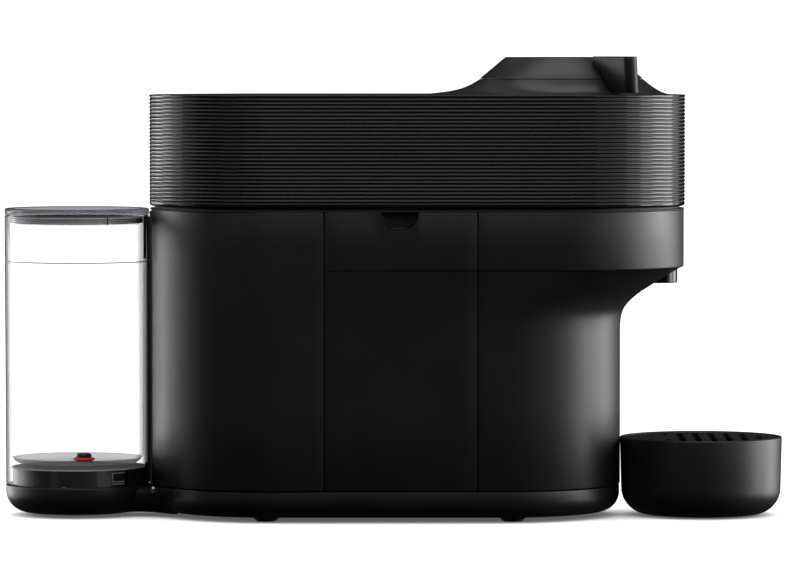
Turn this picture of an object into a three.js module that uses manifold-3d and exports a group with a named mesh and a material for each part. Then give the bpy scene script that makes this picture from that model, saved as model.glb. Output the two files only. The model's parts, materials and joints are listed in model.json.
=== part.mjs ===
// Pod coffee machine, side-loading water tank, swing-up head.
// Millimetres. +X front (cup side), +Y left side as seen from the tank end, +Z up.
// The origin is on the table, at the middle of the footprint.
import * as THREE from 'three';
import { mergeVertices } from 'three/addons/utils/BufferGeometryUtils.js';
import Module from 'manifold-3d';

const wasm = await Module();
wasm.setup();

// ---------------------------------------------------------------- dimensions
const GAP = 0.3;            // clearance between touching pieces
const WALL = 2.5;           // housing wall
const ARC = 14;             // facets on each half-round end

const HEAD_X0 = -133.9, HEAD_X1 = 160.5, HEAD_R = 68.0;   // head outline
const HEAD_Z0 = 170.4, HEAD_Z1 = 231.4;
const BODY_X0 = -132.9, BAND_X1 = 159.9, BAND_R = 67.4;   // body outline at its top band
const BODY_Z0 = 17.8, BODY_Z1 = 168.5, BAND_Z0 = 137.0;
const LOW_X1 = 125.0, LOW_RF = 65.4, LOW_RR = 67.2;       // lower body outline
const COVE_Z0 = 109.5;
const BASE_Z0 = 2.7, BASE_Z1 = 17.3, BASE_FILLET = 14.0, BASE_R = 66.2;
const BIN_X0 = -37.2, BIN_X1 = 45.7, SEAM = 0.6;          // removable bin panel
const SCOOP_X = 3.6, SCOOP_Z = 168.5, SCOOP_R = 10.2;
const TURRET_X = 92.5;                                     // brewing axis
const CAP_R0 = 44.1, CAP_R1 = 31.0, CAP_Z0 = 240.9, CAP_Z1 = 252.0;
const LEVER_R = 69.7, LEVER_HALF = 4.2, LEVER_AZ = -56.6, LEVER_TOP = 252.5;
const NOZZLE_X = 145.0, NOZZLE_R = 11.5, NOZZLE_Z0 = 128.0, NOZZLE_Z1 = 141.0;
const TANK_X = -173.9, TANK_R = 39.7, TANK_WALL = 2.5;
const TANK_Z0 = 17.4, TANK_Z1 = 165.0, TANK_FLOOR0 = 26.9, TANK_FLOOR1 = 28.9;
const LID_R = 39.7, LID_Z0 = 165.3, LID_Z1 = 169.0;
const VALVE_X = -170.3;
const TBASE_R = 39.0, TBASE_Z0 = 2.0, TBASE_Z1 = 17.1, PLUG_R = 35.7, PLUG_Z1 = 26.6;
const TRAY_X = 169.4, TRAY_R = 44.2, TRAY_Z0 = 0.6, TRAY_Z1 = 43.3, TRAY_FILLET = 14.5;
const GRID_Z0 = 40.0, GRID_Z1 = 43.0, GRID_R = 41.1;
const SLOT_X0 = 141.7, SLOT_PITCH = 8.56, SLOT_W = 3.8, SLOTS = 8;
const HINGE_X = -118.0, HINGE_Z = 205.0, PIN_R = 3.0;
const FOOT_R = 6.5, FOOT_X = [-69, 65], FOOT_Y = 46;

// ---------------------------------------------------------------- helpers
const rad = (d) => (d * Math.PI) / 180;

function solid(geometry) {
  const g = geometry.clone();
  for (const name of Object.keys(g.attributes)) if (name !== 'position') g.deleteAttribute(name);
  const m = mergeVertices(g, 1e-4);
  const pos = m.attributes.position.array;
  const idx = m.index.array;
  const tri = [];
  let volume = 0;
  const P = (i) => [pos[3 * i], pos[3 * i + 1], pos[3 * i + 2]];
  for (let i = 0; i < idx.length; i += 3) {
    const [a, b, c] = [idx[i], idx[i + 1], idx[i + 2]];
    if (a === b || b === c || a === c) continue;
    tri.push(a, b, c);
    const [A, B, C] = [P(a), P(b), P(c)];
    volume += A[0] * (B[1] * C[2] - B[2] * C[1]) - A[1] * (B[0] * C[2] - B[2] * C[0]) + A[2] * (B[0] * C[1] - B[1] * C[0]);
  }
  if (volume < 0) for (let i = 0; i < tri.length; i += 3) [tri[i], tri[i + 1]] = [tri[i + 1], tri[i]];
  return new wasm.Manifold(new wasm.Mesh({ numProp: 3, vertProperties: new Float32Array(pos), triVerts: new Uint32Array(tri) }));
}

function geometryOf(m) {
  const mesh = m.getMesh();
  const g = new THREE.BufferGeometry();
  g.setAttribute('position', new THREE.BufferAttribute(new Float32Array(mesh.vertProperties), 3));
  g.setIndex(new THREE.BufferAttribute(new Uint32Array(mesh.triVerts), 1));
  return g;
}

const cut = (a, ...others) => others.reduce((s, o) => s.subtract(o), a);
const join = (a, ...others) => others.reduce((s, o) => s.add(o), a);

// box between two corners
function box(x0, x1, y0, y1, z0, z1) {
  const g = new THREE.BoxGeometry(x1 - x0, y1 - y0, z1 - z0);
  g.translate((x0 + x1) / 2, (y0 + y1) / 2, (z0 + z1) / 2);
  return solid(g);
}

// revolved profile of [radius, z] pairs about the vertical line at x, y
function lathe(profile, x = 0, y = 0, segments = 32) {
  const closed = profile[0][0] === 0 ? profile : [...profile, profile[0]];
  const g = new THREE.LatheGeometry(closed.map(([r, z]) => new THREE.Vector2(r, z)), segments);
  g.rotateX(Math.PI / 2);
  g.translate(x, y, 0);
  return solid(g);
}

const tube = (r0, r1, z0, z1, x, y, n = 24) =>
  lathe(r0 > 0 ? [[r0, z0], [r1, z0], [r1, z1], [r0, z1]] : [[0, z0], [r1, z0], [r1, z1], [0, z1]], x, y, n);

// cylinder lying along Y
function rodY(r, x, z, y0, y1, n = 16) {
  const g = new THREE.CylinderGeometry(r, r, y1 - y0, n);
  g.translate(x, (y0 + y1) / 2, z);
  return solid(g);
}

// cylinder lying along X
function rodX(r, y, z, x0, x1, n = 12) {
  const g = new THREE.CylinderGeometry(r, r, x1 - x0, n);
  g.rotateZ(Math.PI / 2);
  g.translate((x0 + x1) / 2, y, z);
  return solid(g);
}

// outline in X, Z pushed along Y
function plateXZ(points, y0, y1) {
  const s = new THREE.Shape(points.map(([x, z]) => new THREE.Vector2(x, z)));
  const g = new THREE.ExtrudeGeometry(s, { depth: y1 - y0, bevelEnabled: false });
  g.rotateX(Math.PI / 2);
  g.translate(0, y1, 0);
  return solid(g);
}

// outline in Y, Z pushed along X
function plateYZ(points, x0, x1) {
  const s = new THREE.Shape(points.map(([y, z]) => new THREE.Vector2(y, z)));
  const g = new THREE.ExtrudeGeometry(s, { depth: x1 - x0, bevelEnabled: false });
  g.rotateY(Math.PI / 2);
  g.rotateX(Math.PI / 2);
  g.translate(x0, 0, 0);
  return solid(g);
}

// one level of a body with two half-round ends: rear end at x0, front end at x1
function level(x0, x1, rr, rf, z) {
  const pts = [];
  for (let i = 0; i <= ARC; i++) {
    const a = -Math.PI / 2 + (Math.PI * i) / ARC;
    pts.push([x1 - rf + rf * Math.cos(a), rf * Math.sin(a), z]);
  }
  for (let i = 0; i <= ARC; i++) {
    const a = Math.PI / 2 + (Math.PI * i) / ARC;
    pts.push([x0 + rr + rr * Math.cos(a), rr * Math.sin(a), z]);
  }
  return pts;
}

// closed solid through a stack of levels with equal point counts
function loft(levels) {
  const n = levels[0].length;
  const pos = levels.flat(2);
  const idx = [];
  for (let k = 0; k + 1 < levels.length; k++) {
    for (let i = 0; i < n; i++) {
      const j = (i + 1) % n;
      const a = k * n + i, b = k * n + j, c = (k + 1) * n + j, d = (k + 1) * n + i;
      idx.push(a, b, c, a, c, d);
    }
  }
  const cap = (k, flip) => {
    const flat = levels[k].map(([x, y]) => new THREE.Vector2(x, y));
    for (const [a, b, c] of THREE.ShapeUtils.triangulateShape(flat, [])) {
      if (flip) idx.push(k * n + a, k * n + c, k * n + b);
      else idx.push(k * n + a, k * n + b, k * n + c);
    }
  };
  cap(0, true);
  cap(levels.length - 1, false);
  const g = new THREE.BufferGeometry();
  g.setAttribute('position', new THREE.BufferAttribute(new Float32Array(pos), 3));
  g.setIndex(idx);
  return solid(g);
}

// round hose along a path
function hose(points, radius, steps, sides = 8) {
  const path = new THREE.CatmullRomCurve3(points.map((p) => new THREE.Vector3(...p)), false, 'centripetal');
  const s = new THREE.Shape();
  for (let i = 0; i < sides; i++) {
    const a = (2 * Math.PI * i) / sides;
    if (i === 0) s.moveTo(radius, 0);
    else s.lineTo(radius * Math.cos(a), radius * Math.sin(a));
  }
  s.closePath();
  return solid(new THREE.ExtrudeGeometry(s, { steps, extrudePath: path, bevelEnabled: false }));
}

// ---------------------------------------------------------------- materials
const plastic = (color, roughness = 0.45) => new THREE.MeshStandardMaterial({ color, roughness, metalness: 0 });
const metal = (color, roughness = 0.35) => new THREE.MeshStandardMaterial({ color, roughness, metalness: 1 });
const SATIN = plastic(0x151515, 0.42);
const INNER = plastic(0x1b1b1c, 0.6);
const GLOSS = plastic(0x0b0b0b, 0.12);
const RUBBER = plastic(0x101010, 0.9);
const CLEAR = new THREE.MeshStandardMaterial({ color: 0xdfe6ea, roughness: 0.05, metalness: 0, transparent: true, opacity: 0.25 });
const SMOKE = new THREE.MeshStandardMaterial({ color: 0x6d7174, roughness: 0.12, metalness: 0, transparent: true, opacity: 0.55 });
const RED = plastic(0xb5281c, 0.5);
const STEEL = metal(0xb9bcc0, 0.3);
const ALU = metal(0xa3a6a9, 0.45);
const BOARD = plastic(0x1f5b34, 0.5);
const LIGHT = plastic(0xe8e8e4, 0.3);

const machine = new THREE.Group();
function add(name, shape, material) {
  const mesh = new THREE.Mesh(geometryOf(shape), material);
  mesh.name = name;
  machine.add(mesh);
  return mesh;
}

// ---------------------------------------------------------------- base
const fillet = (r, x0, x1, z0, k) => {
  const out = [];
  for (let i = 0; i <= 3; i++) {
    const a = (Math.PI / 2) * (i / 3);
    const inset = k * (1 - Math.sin(a));
    out.push([x0 + inset, x1 - inset, r - inset, z0 + k * (1 - Math.cos(a))]);
  }
  return out;
};
const basePanOuter = loft([
  ...fillet(BASE_R, BODY_X0 + 0.6, LOW_X1 - 0.4, BASE_Z0, BASE_FILLET).map(([a, b, r, z]) => level(a, b, r, r, z)),
  level(BODY_X0 + 0.6, LOW_X1 - 0.4, BASE_R, BASE_R, BASE_Z1),
]);
const basePanInner = loft([
  level(BODY_X0 + 11, LOW_X1 - 10.8, BASE_R - 10.4, BASE_R - 10.4, BASE_Z0 + 3.2),
  level(BODY_X0 + 3.6, LOW_X1 - 3.4, BASE_R - 3, BASE_R - 3, BASE_Z0 + 11),
  level(BODY_X0 + 3.6, LOW_X1 - 3.4, BASE_R - 3, BASE_R - 3, BASE_Z1 + 5),
]);
const HOSE_Z = 10.5;
const GLAND_X = -55, GLAND_Z = 10.6, GLAND_R = 5.2;
const SCREWS = [[-100, -26], [-100, 26], [92, -26], [92, 26]];
add('base_pan', cut(basePanOuter, basePanInner,
  rodX(3.7, 0, HOSE_Z, -140, -118),
  rodY(GLAND_R + GAP, GLAND_X, GLAND_Z, 58, 70),
  ...SCREWS.map(([x, y]) => tube(0, 2.1, 0, 9, x, y, 12)),
  ...SCREWS.map(([x, y]) => tube(0, 4.0, 0, 4.4, x, y, 12))), SATIN);
FOOT_X.forEach((x, i) => [-1, 1].forEach((s, j) =>
  add(['rear', 'front'][i] + '_foot_' + ['near', 'far'][j],
    lathe([[0, 0], [FOOT_R - 0.8, 0], [FOOT_R, 0.8], [FOOT_R, BASE_Z0 - GAP], [0, BASE_Z0 - GAP]], x, s * FOOT_Y, 20), RUBBER)));
SCREWS.forEach(([x, y], i) => add('base_screw_' + (i + 1),
  lathe([[0, 2.8], [3.4, 2.8], [3.4, 4.1], [1.7, 4.1], [1.7, 9.5], [0, 9.5]], x, y, 12), STEEL));
add('cord_gland', cut(rodY(GLAND_R, GLAND_X, GLAND_Z, 60.5, 67.6), rodY(3.2, GLAND_X, GLAND_Z, 50, 80)), RUBBER);

// ---------------------------------------------------------------- body shells
// front face of the lower body sweeps out under the brewing head in a cove
const COVE = [[125.0, 109.5], [126.2, 113.4], [129.6, 118.2], [136.2, 123.4], [146.5, 130.0], [157.6, 136.9]];
const covePart = (x) => (x - LOW_X1) / (157.6 - LOW_X1);
const bodyOuter = loft([
  level(BODY_X0, LOW_X1, LOW_RR, LOW_RF, BODY_Z0),
  ...COVE.map(([x, z]) => level(BODY_X0, x, LOW_RR, LOW_RF + 0.4 * covePart(x), z)),
  level(BODY_X0, BAND_X1 - 0.6, BAND_R - 0.6, BAND_R - 0.6, BAND_Z0),
  level(BODY_X0, BAND_X1, BAND_R, BAND_R, BAND_Z0 + 1.2),
  level(BODY_X0, BAND_X1, BAND_R, BAND_R, BODY_Z1 - 0.7),
  level(BODY_X0 + 0.7, BAND_X1 - 0.7, BAND_R - 0.7, BAND_R - 0.7, BODY_Z1),
]);
const bodyInner = loft([
  level(BODY_X0 + WALL, LOW_X1 - WALL, LOW_RR - WALL, LOW_RF - WALL, 10),
  ...COVE.map(([x, z]) => level(BODY_X0 + WALL, x - WALL, LOW_RR - WALL, LOW_RF - WALL + 0.4 * covePart(x), z + 1.6)),
  level(BODY_X0 + WALL, BAND_X1 - WALL, BAND_R - WALL, BAND_R - WALL, BAND_Z0 + 4),
  level(BODY_X0 + WALL, BAND_X1 - WALL, BAND_R - WALL, BAND_R - WALL, 180),
]);
const bodyShell = cut(bodyOuter, bodyInner);
const slab = (x0, x1, y0, y1) => box(x0, x1, y0, y1, 0, 200);
// lips behind the panel seams: a foot welded to the housing's wall and a tongue that backs the panel's edge
const lips = (sign, x0, x1, x2, yWall, yFoot, yTongue0, yTongue1) => {
  const span = (a, b, c, d, z0, z1) => (sign < 0 ? box(a, b, -d, -c, z0, z1) : box(a, b, c, d, z0, z1));
  return [[19, 160.2], [163.8, 167.1]].map(([z0, z1]) => join(
    span(Math.min(x0, x1), Math.max(x0, x1), yFoot, z0 < 100 ? yWall : 66, z0, z1),
    span(Math.min(x0, x2), Math.max(x0, x2), yTongue0, yTongue1, z0, z1)));
};
const rearLips = [-1, 1].flatMap((s) => lips(s, -41.5, BIN_X0 - SEAM / 2 - 0.2, -34.9, 65.2, 62.0, 61.0, 63.4));
const frontLips = [-1, 1].flatMap((s) => lips(s, 49.5, BIN_X1 + SEAM / 2 + 0.2, 43.4, 64.2, 61.0, 60.2, 62.4));
const rearRail = box(BODY_X0 - 1.0, BODY_X0 + 0.6, -5, 5, 20, 163);
add('rear_housing', join(bodyShell.intersect(slab(-200, BIN_X0 - SEAM / 2, -100, 100)), ...rearLips, rearRail), SATIN);
add('front_housing', cut(join(bodyShell.intersect(slab(BIN_X1 + SEAM / 2, 200, -100, 100)), ...frontLips),
  tube(0, NOZZLE_R + 0.4, 120, 150, NOZZLE_X, 0, 24)), SATIN);
add('far_panel', bodyShell.intersect(slab(BIN_X0 + SEAM / 2, BIN_X1 - SEAM / 2, 0, 100)), SATIN);

// ---------------------------------------------------------------- pod bin
const scoopHollow = rodY(SCOOP_R, SCOOP_X, SCOOP_Z, -80, -58.5, 24);
const scoopCup = rodY(SCOOP_R + 1.8, SCOOP_X, SCOOP_Z, -66, -56.7, 24).intersect(box(-50, 50, -80, 0, 100, 167.0));
add('bin_panel', cut(join(bodyShell.intersect(slab(BIN_X0 + SEAM / 2, BIN_X1 - SEAM / 2, -100, 0)), scoopCup), scoopHollow), SATIN);
add('bin_bucket', cut(box(-34, 42.4, -62.6, 50, 20, 125), box(-32, 40.4, -60.6, 48, 22, 130),
  box(30, 60, -30, 30, 96, 130)), INNER);

// ---------------------------------------------------------------- deck, chamber, drum, motor
const DECK_Z0 = 160.5, DECK_Z1 = 163.5;
add('top_deck', cut(
  loft([level(BODY_X0 + WALL + GAP, BAND_X1 - WALL - GAP, BAND_R - WALL - GAP, BAND_R - WALL - GAP, DECK_Z0),
    level(BODY_X0 + WALL + GAP, BAND_X1 - WALL - GAP, BAND_R - WALL - GAP, BAND_R - WALL - GAP, DECK_Z1)]),
  tube(0, 36.6, 150, 180, TURRET_X, 0, 32), box(-30, 34, -32, 32, 150, 180), box(-14, 21, -80, -54, 150, 180)), INNER);
add('brew_chamber', cut(lathe([[9.3, 117.5], [12, 117.5], [12, 125.5], [36, 125.5], [36, 163.9], [42, 163.9], [42, 166.9], [33.5, 166.9], [33.5, 128.5], [9.3, 128.5]], TURRET_X, 0, 32),
  rodX(3.2, 0, 145.4, TURRET_X + 30, TURRET_X + 40)), INNER);
add('drum_bearing', tube(4.4, 9.0, 118.5, 125.0, TURRET_X, 0, 16), STEEL);
add('capsule_drum', lathe([[0, 105.6], [4, 105.6], [4, 129.5], [22, 129.5], [31, 136], [31, 165.5], [28.6, 165.5], [28.6, 137.5], [21, 132.2], [0, 132.2]], TURRET_X, 0, 24), INNER);
add('spin_motor', lathe([[0, 58], [21, 58], [21, 98], [12, 98], [12, 104.8], [0, 104.8]], TURRET_X, 0, 24), STEEL);
add('outlet_duct', box(TURRET_X + 36.4, NOZZLE_X + 8, -6, 6, NOZZLE_Z1 + GAP, 149), INNER);
add('coffee_nozzle', lathe([[3.5, NOZZLE_Z0], [10.7, NOZZLE_Z0], [NOZZLE_R, NOZZLE_Z0 + 0.8], [NOZZLE_R, NOZZLE_Z1], [3.5, NOZZLE_Z1]], NOZZLE_X, 0, 24), GLOSS);

// ---------------------------------------------------------------- water system and electrics
add('flow_meter', lathe([[0, 6.8], [12, 6.8], [12, 24], [5, 24], [5, 28], [0, 28]], -108, 0, 20), INNER);
add('pump', join(box(-90, -50, -44, -8, 7, 46), rodX(7, -26, 27, -104, -89.9, 16)), INNER);
add('heater', join(box(-102, -50, 10, 46, 34, 118), rodX(5, 28, 104, -50.1, -42, 12)), ALU);
add('control_board', box(-88, -44, 52, 53.6, 56, 146), BOARD);
add('feed_hose', hose([[VALVE_X, 0, 9.4], [-162, 0, HOSE_Z], [-150, 0, HOSE_Z], [-138, 0, HOSE_Z], [-126, 0, HOSE_Z], [-120.4, 0, HOSE_Z]], 3.0, 10), RUBBER);
add('pump_hose', hose([[-72, -26, 46.4], [-72, -24, 58], [-76, -12, 76], [-80, -2, 84], [-80, 9.0, 84]], 2.5, 12), RUBBER);

// ---------------------------------------------------------------- tank stand
const tankBaseOuter = (() => {
  const p = [[0, TBASE_Z0]];
  const k = BASE_FILLET;
  for (let i = 0; i <= 3; i++) {
    const a = (Math.PI / 2) * (i / 3);
    p.push([TBASE_R - k * (1 - Math.sin(a)), TBASE_Z0 + k * (1 - Math.cos(a))]);
  }
  p.push([TBASE_R, TBASE_Z1], [PLUG_R, TBASE_Z1], [PLUG_R, PLUG_Z1 - 1], [PLUG_R - 1, PLUG_Z1], [0, PLUG_Z1]);
  return lathe(p, TANK_X, 0, 28);
})();
const tankBaseInner = lathe([[0, -1], [24, -1], [30, 8], [33, 14], [32.5, 22], [30, 23.6], [0, 23.6]], TANK_X, 0, 24);
const stadiumClear = loft([level(BODY_X0 + 0.6 - GAP, LOW_X1, BASE_R + GAP, BASE_R + GAP, 0), level(BODY_X0 + 0.6 - GAP, LOW_X1, BASE_R + GAP, BASE_R + GAP, 20)]);
const bridge = cut(plateYZ([[-24, 9], [-18, 4.2], [-12, 3.5], [12, 3.5], [18, 4.2], [24, 9], [24, 15.4], [23.2, 16.2], [-23.2, 16.2], [-24, 15.4]], -150, -126), stadiumClear);
add('tank_base', cut(join(cut(tankBaseOuter, tankBaseInner), cut(bridge, tankBaseInner), tube(0, 10.5, 16, 24, VALVE_X, 0, 20)),
  tube(0, 8, 18, 30, VALVE_X, 0, 20), tube(0, 2.9, 10, 30, VALVE_X, 0, 12), rodX(3.6, 0, HOSE_Z, -150, -120)), SATIN);
add('tank_base_plate', tube(0, 23.4, TBASE_Z0, TBASE_Z0 + 2.5, TANK_X, 0, 24), INNER);
add('tank_nipple', cut(lathe([[0, 12.8], [2.5, 12.8], [2.5, 18.4], [3.6, 18.4], [3.6, 20.2], [0, 20.2]], VALVE_X, 0, 12), tube(0, 1.2, 10, 30, VALVE_X, 0, 8)), INNER);

// ---------------------------------------------------------------- water tank
add('tank_shell', cut(lathe([[0, TANK_FLOOR0], [TANK_R - TANK_WALL - 0.4, TANK_FLOOR0], [TANK_R - TANK_WALL - 0.4, TANK_Z0], [TANK_R - 0.5, TANK_Z0], [TANK_R, TANK_Z1], [TANK_R - TANK_WALL, TANK_Z1],
  [TANK_R - TANK_WALL - 0.5, TANK_FLOOR1 + 3], [TANK_R - TANK_WALL - 3.5, TANK_FLOOR1], [0, TANK_FLOOR1]], TANK_X, 0, 28),
  tube(0, 3.0, 20, 40, VALVE_X, 0, 12)), CLEAR);
add('tank_valve', lathe([[0, 20.6], [2.3, 20.6], [2.3, 32.2], [4.2, 32.2], [4.2, 33.2], [3.6, 33.8], [0, 33.8]], VALVE_X, 0, 16), INNER);
add('valve_seal', tube(2.7, 6.0, 29.3, 31.9, VALVE_X, 0, 20), RED);
add('valve_spring', tube(3.4, 4.6, 22.6, 26.5, VALVE_X, 0, 16), STEEL);
add('tank_lid', lathe([[0, LID_Z0 + 1], [30.5, LID_Z0 + 1], [31.5, 160], [34.6, 160], [34.6, LID_Z0], [LID_R - 0.3, LID_Z0], [LID_R, LID_Z0 + 0.8], [LID_R, LID_Z1 - 0.8], [LID_R - 0.8, LID_Z1], [0, LID_Z1]], TANK_X, 0, 28), SMOKE);
add('lid_seal', tube(34.9, 36.6, 161, 164, TANK_X, 0, 24), RUBBER);

// ---------------------------------------------------------------- drip tray
const trayProfile = (() => {
  const p = [[0, TRAY_Z0]];
  const k = TRAY_FILLET;
  for (let i = 0; i <= 4; i++) {
    const a = (Math.PI / 2) * (i / 4);
    p.push([TRAY_R - 0.7 - k * (1 - Math.sin(a)), TRAY_Z0 + k * (1 - Math.cos(a))]);
  }
  p.push([TRAY_R, TRAY_Z1 - 0.6], [TRAY_R - 0.6, TRAY_Z1], [TRAY_R - WALL, TRAY_Z1], [TRAY_R - WALL, GRID_Z0 - GAP], [TRAY_R - WALL - 1.8, GRID_Z0 - GAP - 0.6]);
  for (let i = 3; i >= 0; i--) {
    const a = (Math.PI / 2) * (i / 3);
    p.push([TRAY_R - WALL - 2.2 - (k - 2) * (1 - Math.sin(a)), TRAY_Z0 + 2.5 + (k - 2) * (1 - Math.cos(a))]);
  }
  p.push([0, TRAY_Z0 + 2.5]);
  return p;
})();
add('drip_tray', lathe(trayProfile, TRAY_X, 0, 32), SATIN);
const slots = [];
for (let i = 0; i < SLOTS; i++) {
  const x = SLOT_X0 + i * SLOT_PITCH;
  const half = Math.sqrt(Math.max(0, 37.0 ** 2 - (Math.abs(x - TRAY_X) + SLOT_W / 2) ** 2));
  if (i < 2) {
    const solidHalf = 17;
    slots.push(box(x - SLOT_W / 2, x + SLOT_W / 2, solidHalf, half, 30, 50));
    slots.push(box(x - SLOT_W / 2, x + SLOT_W / 2, -half, -solidHalf, 30, 50));
  } else slots.push(box(x - SLOT_W / 2, x + SLOT_W / 2, -half, half, 30, 50));
}
add('drip_grid', cut(tube(0, GRID_R, GRID_Z0, GRID_Z1, TRAY_X, 0, 32), ...slots), SATIN);

// ---------------------------------------------------------------- head
add('head_band', cut(loft([
  level(HEAD_X0 + 2.2, HEAD_X1 - 2.2, HEAD_R - 2.2, HEAD_R - 2.2, HEAD_Z0),
  level(HEAD_X0 + 0.7, HEAD_X1 - 0.7, HEAD_R - 0.7, HEAD_R - 0.7, HEAD_Z0 + 1.0),
  level(HEAD_X0, HEAD_X1, HEAD_R, HEAD_R, HEAD_Z0 + 3.0),
  level(HEAD_X0, HEAD_X1, HEAD_R, HEAD_R, HEAD_Z1 - 0.8),
  level(HEAD_X0 + 0.8, HEAD_X1 - 0.8, HEAD_R - 0.8, HEAD_R - 0.8, HEAD_Z1)]),
  loft([level(HEAD_X0 + 3, HEAD_X1 - 3, HEAD_R - 3, HEAD_R - 3, 150), level(HEAD_X0 + 3, HEAD_X1 - 3, HEAD_R - 3, HEAD_R - 3, 250)])), SATIN);
// raised collar round the turret, with a longer tail toward the rear
const COLLAR = [[70.0, 60.0, 54.5, 231.1], [63.0, 55.5, 52.8, 232.7], [56.0, 51.9, 51.0, 234.3], [51.8, 49.5, 49.2, 236.0], [48.6, 47.4, 47.4, 237.8], [46.2, 45.6, 45.6, 239.4], [44.9, 44.7, 44.7, 240.5]];
const collarLevel = ([rear, front, side, z]) => {
  const pts = [];
  for (let i = 0; i < 32; i++) {
    const a = (2 * Math.PI * i) / 32;
    const c = Math.cos(a);
    const r = side + (c > 0 ? (front - side) : (rear - side)) * c * c;
    pts.push([TURRET_X + r * Math.cos(a), r * Math.sin(a), z]);
  }
  return pts;
};
add('head_top', cut(join(
  loft([level(HEAD_X0 + 3.3, HEAD_X1 - 3.3, HEAD_R - 3.3, HEAD_R - 3.3, 229.4), level(HEAD_X0 + 3.3, HEAD_X1 - 3.3, HEAD_R - 3.3, HEAD_R - 3.3, HEAD_Z1)]),
  loft(COLLAR.map(collarLevel))), tube(0, 42.0, 220, 250, TURRET_X, 0, 32)), SATIN);
const LUG_Y = 18.8;
const lug = (y0, y1) => plateXZ([[-125, 173.5], [-104, 173.5], [-110, 200], [-111, 209], [-115, 212], [-121, 212], [-124.5, 209], [-125, 200]], y0, y1);
add('head_frame', cut(join(
  loft([level(HEAD_X0 + 3.3, HEAD_X1 - 3.3, HEAD_R - 3.3, HEAD_R - 3.3, 172.2), level(HEAD_X0 + 3.3, HEAD_X1 - 3.3, HEAD_R - 3.3, HEAD_R - 3.3, 174.4)]),
  lug(LUG_Y - 2.2, LUG_Y + 2.2), lug(-LUG_Y - 2.2, -LUG_Y + 2.2)),
  tube(0, 37.0, 150, 190, TURRET_X, 0, 32), rodY(PIN_R + GAP + 0.1, HINGE_X, HINGE_Z, -60, 60, 16),
  box(-127.3, -74, 7.8, 16.2, 160, 180), box(-127.3, -74, -16.2, -7.8, 160, 180)), INNER);
add('neck_ring', cut(
  loft([level(HEAD_X0 + 5.4, HEAD_X1 - 5.4, HEAD_R - 5.4, HEAD_R - 5.4, 167.4), level(HEAD_X0 + 5.4, HEAD_X1 - 5.4, HEAD_R - 5.4, HEAD_R - 5.4, 171.9)]),
  loft([level(HEAD_X0 + 7.6, HEAD_X1 - 7.6, HEAD_R - 7.6, HEAD_R - 7.6, 160), level(HEAD_X0 + 7.6, HEAD_X1 - 7.6, HEAD_R - 7.6, HEAD_R - 7.6, 180)])), INNER);
add('rotor_cover', lathe([[13.4, 177], [40.0, 177], [40.0, 174.7], [44.0, 174.7], [44.0, 179.5], [16, 179.5], [16, 186], [13.4, 186]], TURRET_X, 0, 24), INNER);
add('rotor_bearing', tube(8.4, 13.0, 178, 185, TURRET_X, 0, 16), STEEL);
add('chamber_seal', tube(37.6, 41.4, 167.3, 171.9, TURRET_X, 0, 24), RUBBER);
add('water_injector', lathe([[0, 190.6], [3.2, 190.6], [3.2, 204], [0, 204]], TURRET_X, 0, 12), INNER);

// gooseneck hinge arms, fixed to the body, and their pin
const arm = (y0, y1) => cut(plateXZ([[-92, 163.9], [-78, 163.9], [-79.5, 176], [-84, 188], [-93, 198], [-104, 204], [-110.5, 207], [-112, 210], [-116, 212.5], [-120, 212.5], [-124, 210], [-125.5, 205], [-124, 200], [-120, 197.6], [-114, 197.4], [-104, 194.5], [-96, 189], [-91, 181], [-90, 174]], y0, y1),
  rodY(PIN_R + GAP, HINGE_X, HINGE_Z, y0 - 5, y1 + 5, 16));
add('hinge_arm_near', arm(-14.4, -9.4), STEEL);
add('hinge_arm_far', arm(9.4, 14.4), STEEL);
add('hinge_pin', rodY(PIN_R, HINGE_X, HINGE_Z, -22, 22, 16), STEEL);

// ---------------------------------------------------------------- turret, lever, button
const tab = (() => {
  const side = plateXZ([[30, 245], [30, LEVER_TOP], [LEVER_R - 1.9, LEVER_TOP], [LEVER_R, 232.6], [60, 232.6], [58.5, 232.9], [55.5, 233.9], [52.5, 235.6], [49.5, 237.8], [46.8, 240.0], [45.2, 241.2], [43.5, 241.4], [36, 245]], -LEVER_HALF, LEVER_HALF);
  const s = new THREE.Shape();
  s.moveTo(25, -LEVER_HALF);
  s.lineTo(LEVER_R - LEVER_HALF, -LEVER_HALF);
  for (let i = 1; i < 8; i++) {
    const a = -Math.PI / 2 + (Math.PI * i) / 8;
    s.lineTo(LEVER_R - LEVER_HALF + LEVER_HALF * Math.cos(a), LEVER_HALF * Math.sin(a));
  }
  s.lineTo(LEVER_R - LEVER_HALF, LEVER_HALF);
  s.lineTo(25, LEVER_HALF);
  s.closePath();
  const plan = new THREE.ExtrudeGeometry(s, { depth: 60, bevelEnabled: false });
  plan.translate(0, 0, 220);
  return side.intersect(solid(plan)).rotate([0, 0, LEVER_AZ]).translate([TURRET_X, 0, 0]);
})();
add('lever_cap', join(lathe([[0, 241.5], [38.5, 241.5], [38.5, 222], [41.5, 222], [41.5, CAP_Z0], [CAP_R0, CAP_Z0], [CAP_R1, CAP_Z1], [18, CAP_Z1], [18, 244], [0, 244]], TURRET_X, 0, 32), tab), SATIN);
add('lock_ring', lathe([[46, 175.4], [49, 175.4], [49, 221.7], [38.5, 221.7], [38.5, 218.7], [46, 218.7]], TURRET_X, 0, 24), ALU);
add('button_light_ring', tube(15.2, 17.6, 244.3, 251.6, TURRET_X, 0, 24), LIGHT);
add('brew_button', lathe([[0, 250], [8.4, 250], [8.4, 246.6], [14.7, 246.6], [14.7, 251.3], [14.0, 252], [0, 252]], TURRET_X, 0, 24), SATIN);
add('button_spring', tube(5.8, 7.6, 244.3, 247.9, TURRET_X, 0, 16), STEEL);
add('brew_switch', box(TURRET_X - 3, TURRET_X + 3, -3, 3, 244.3, 247.9), INNER);

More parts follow.
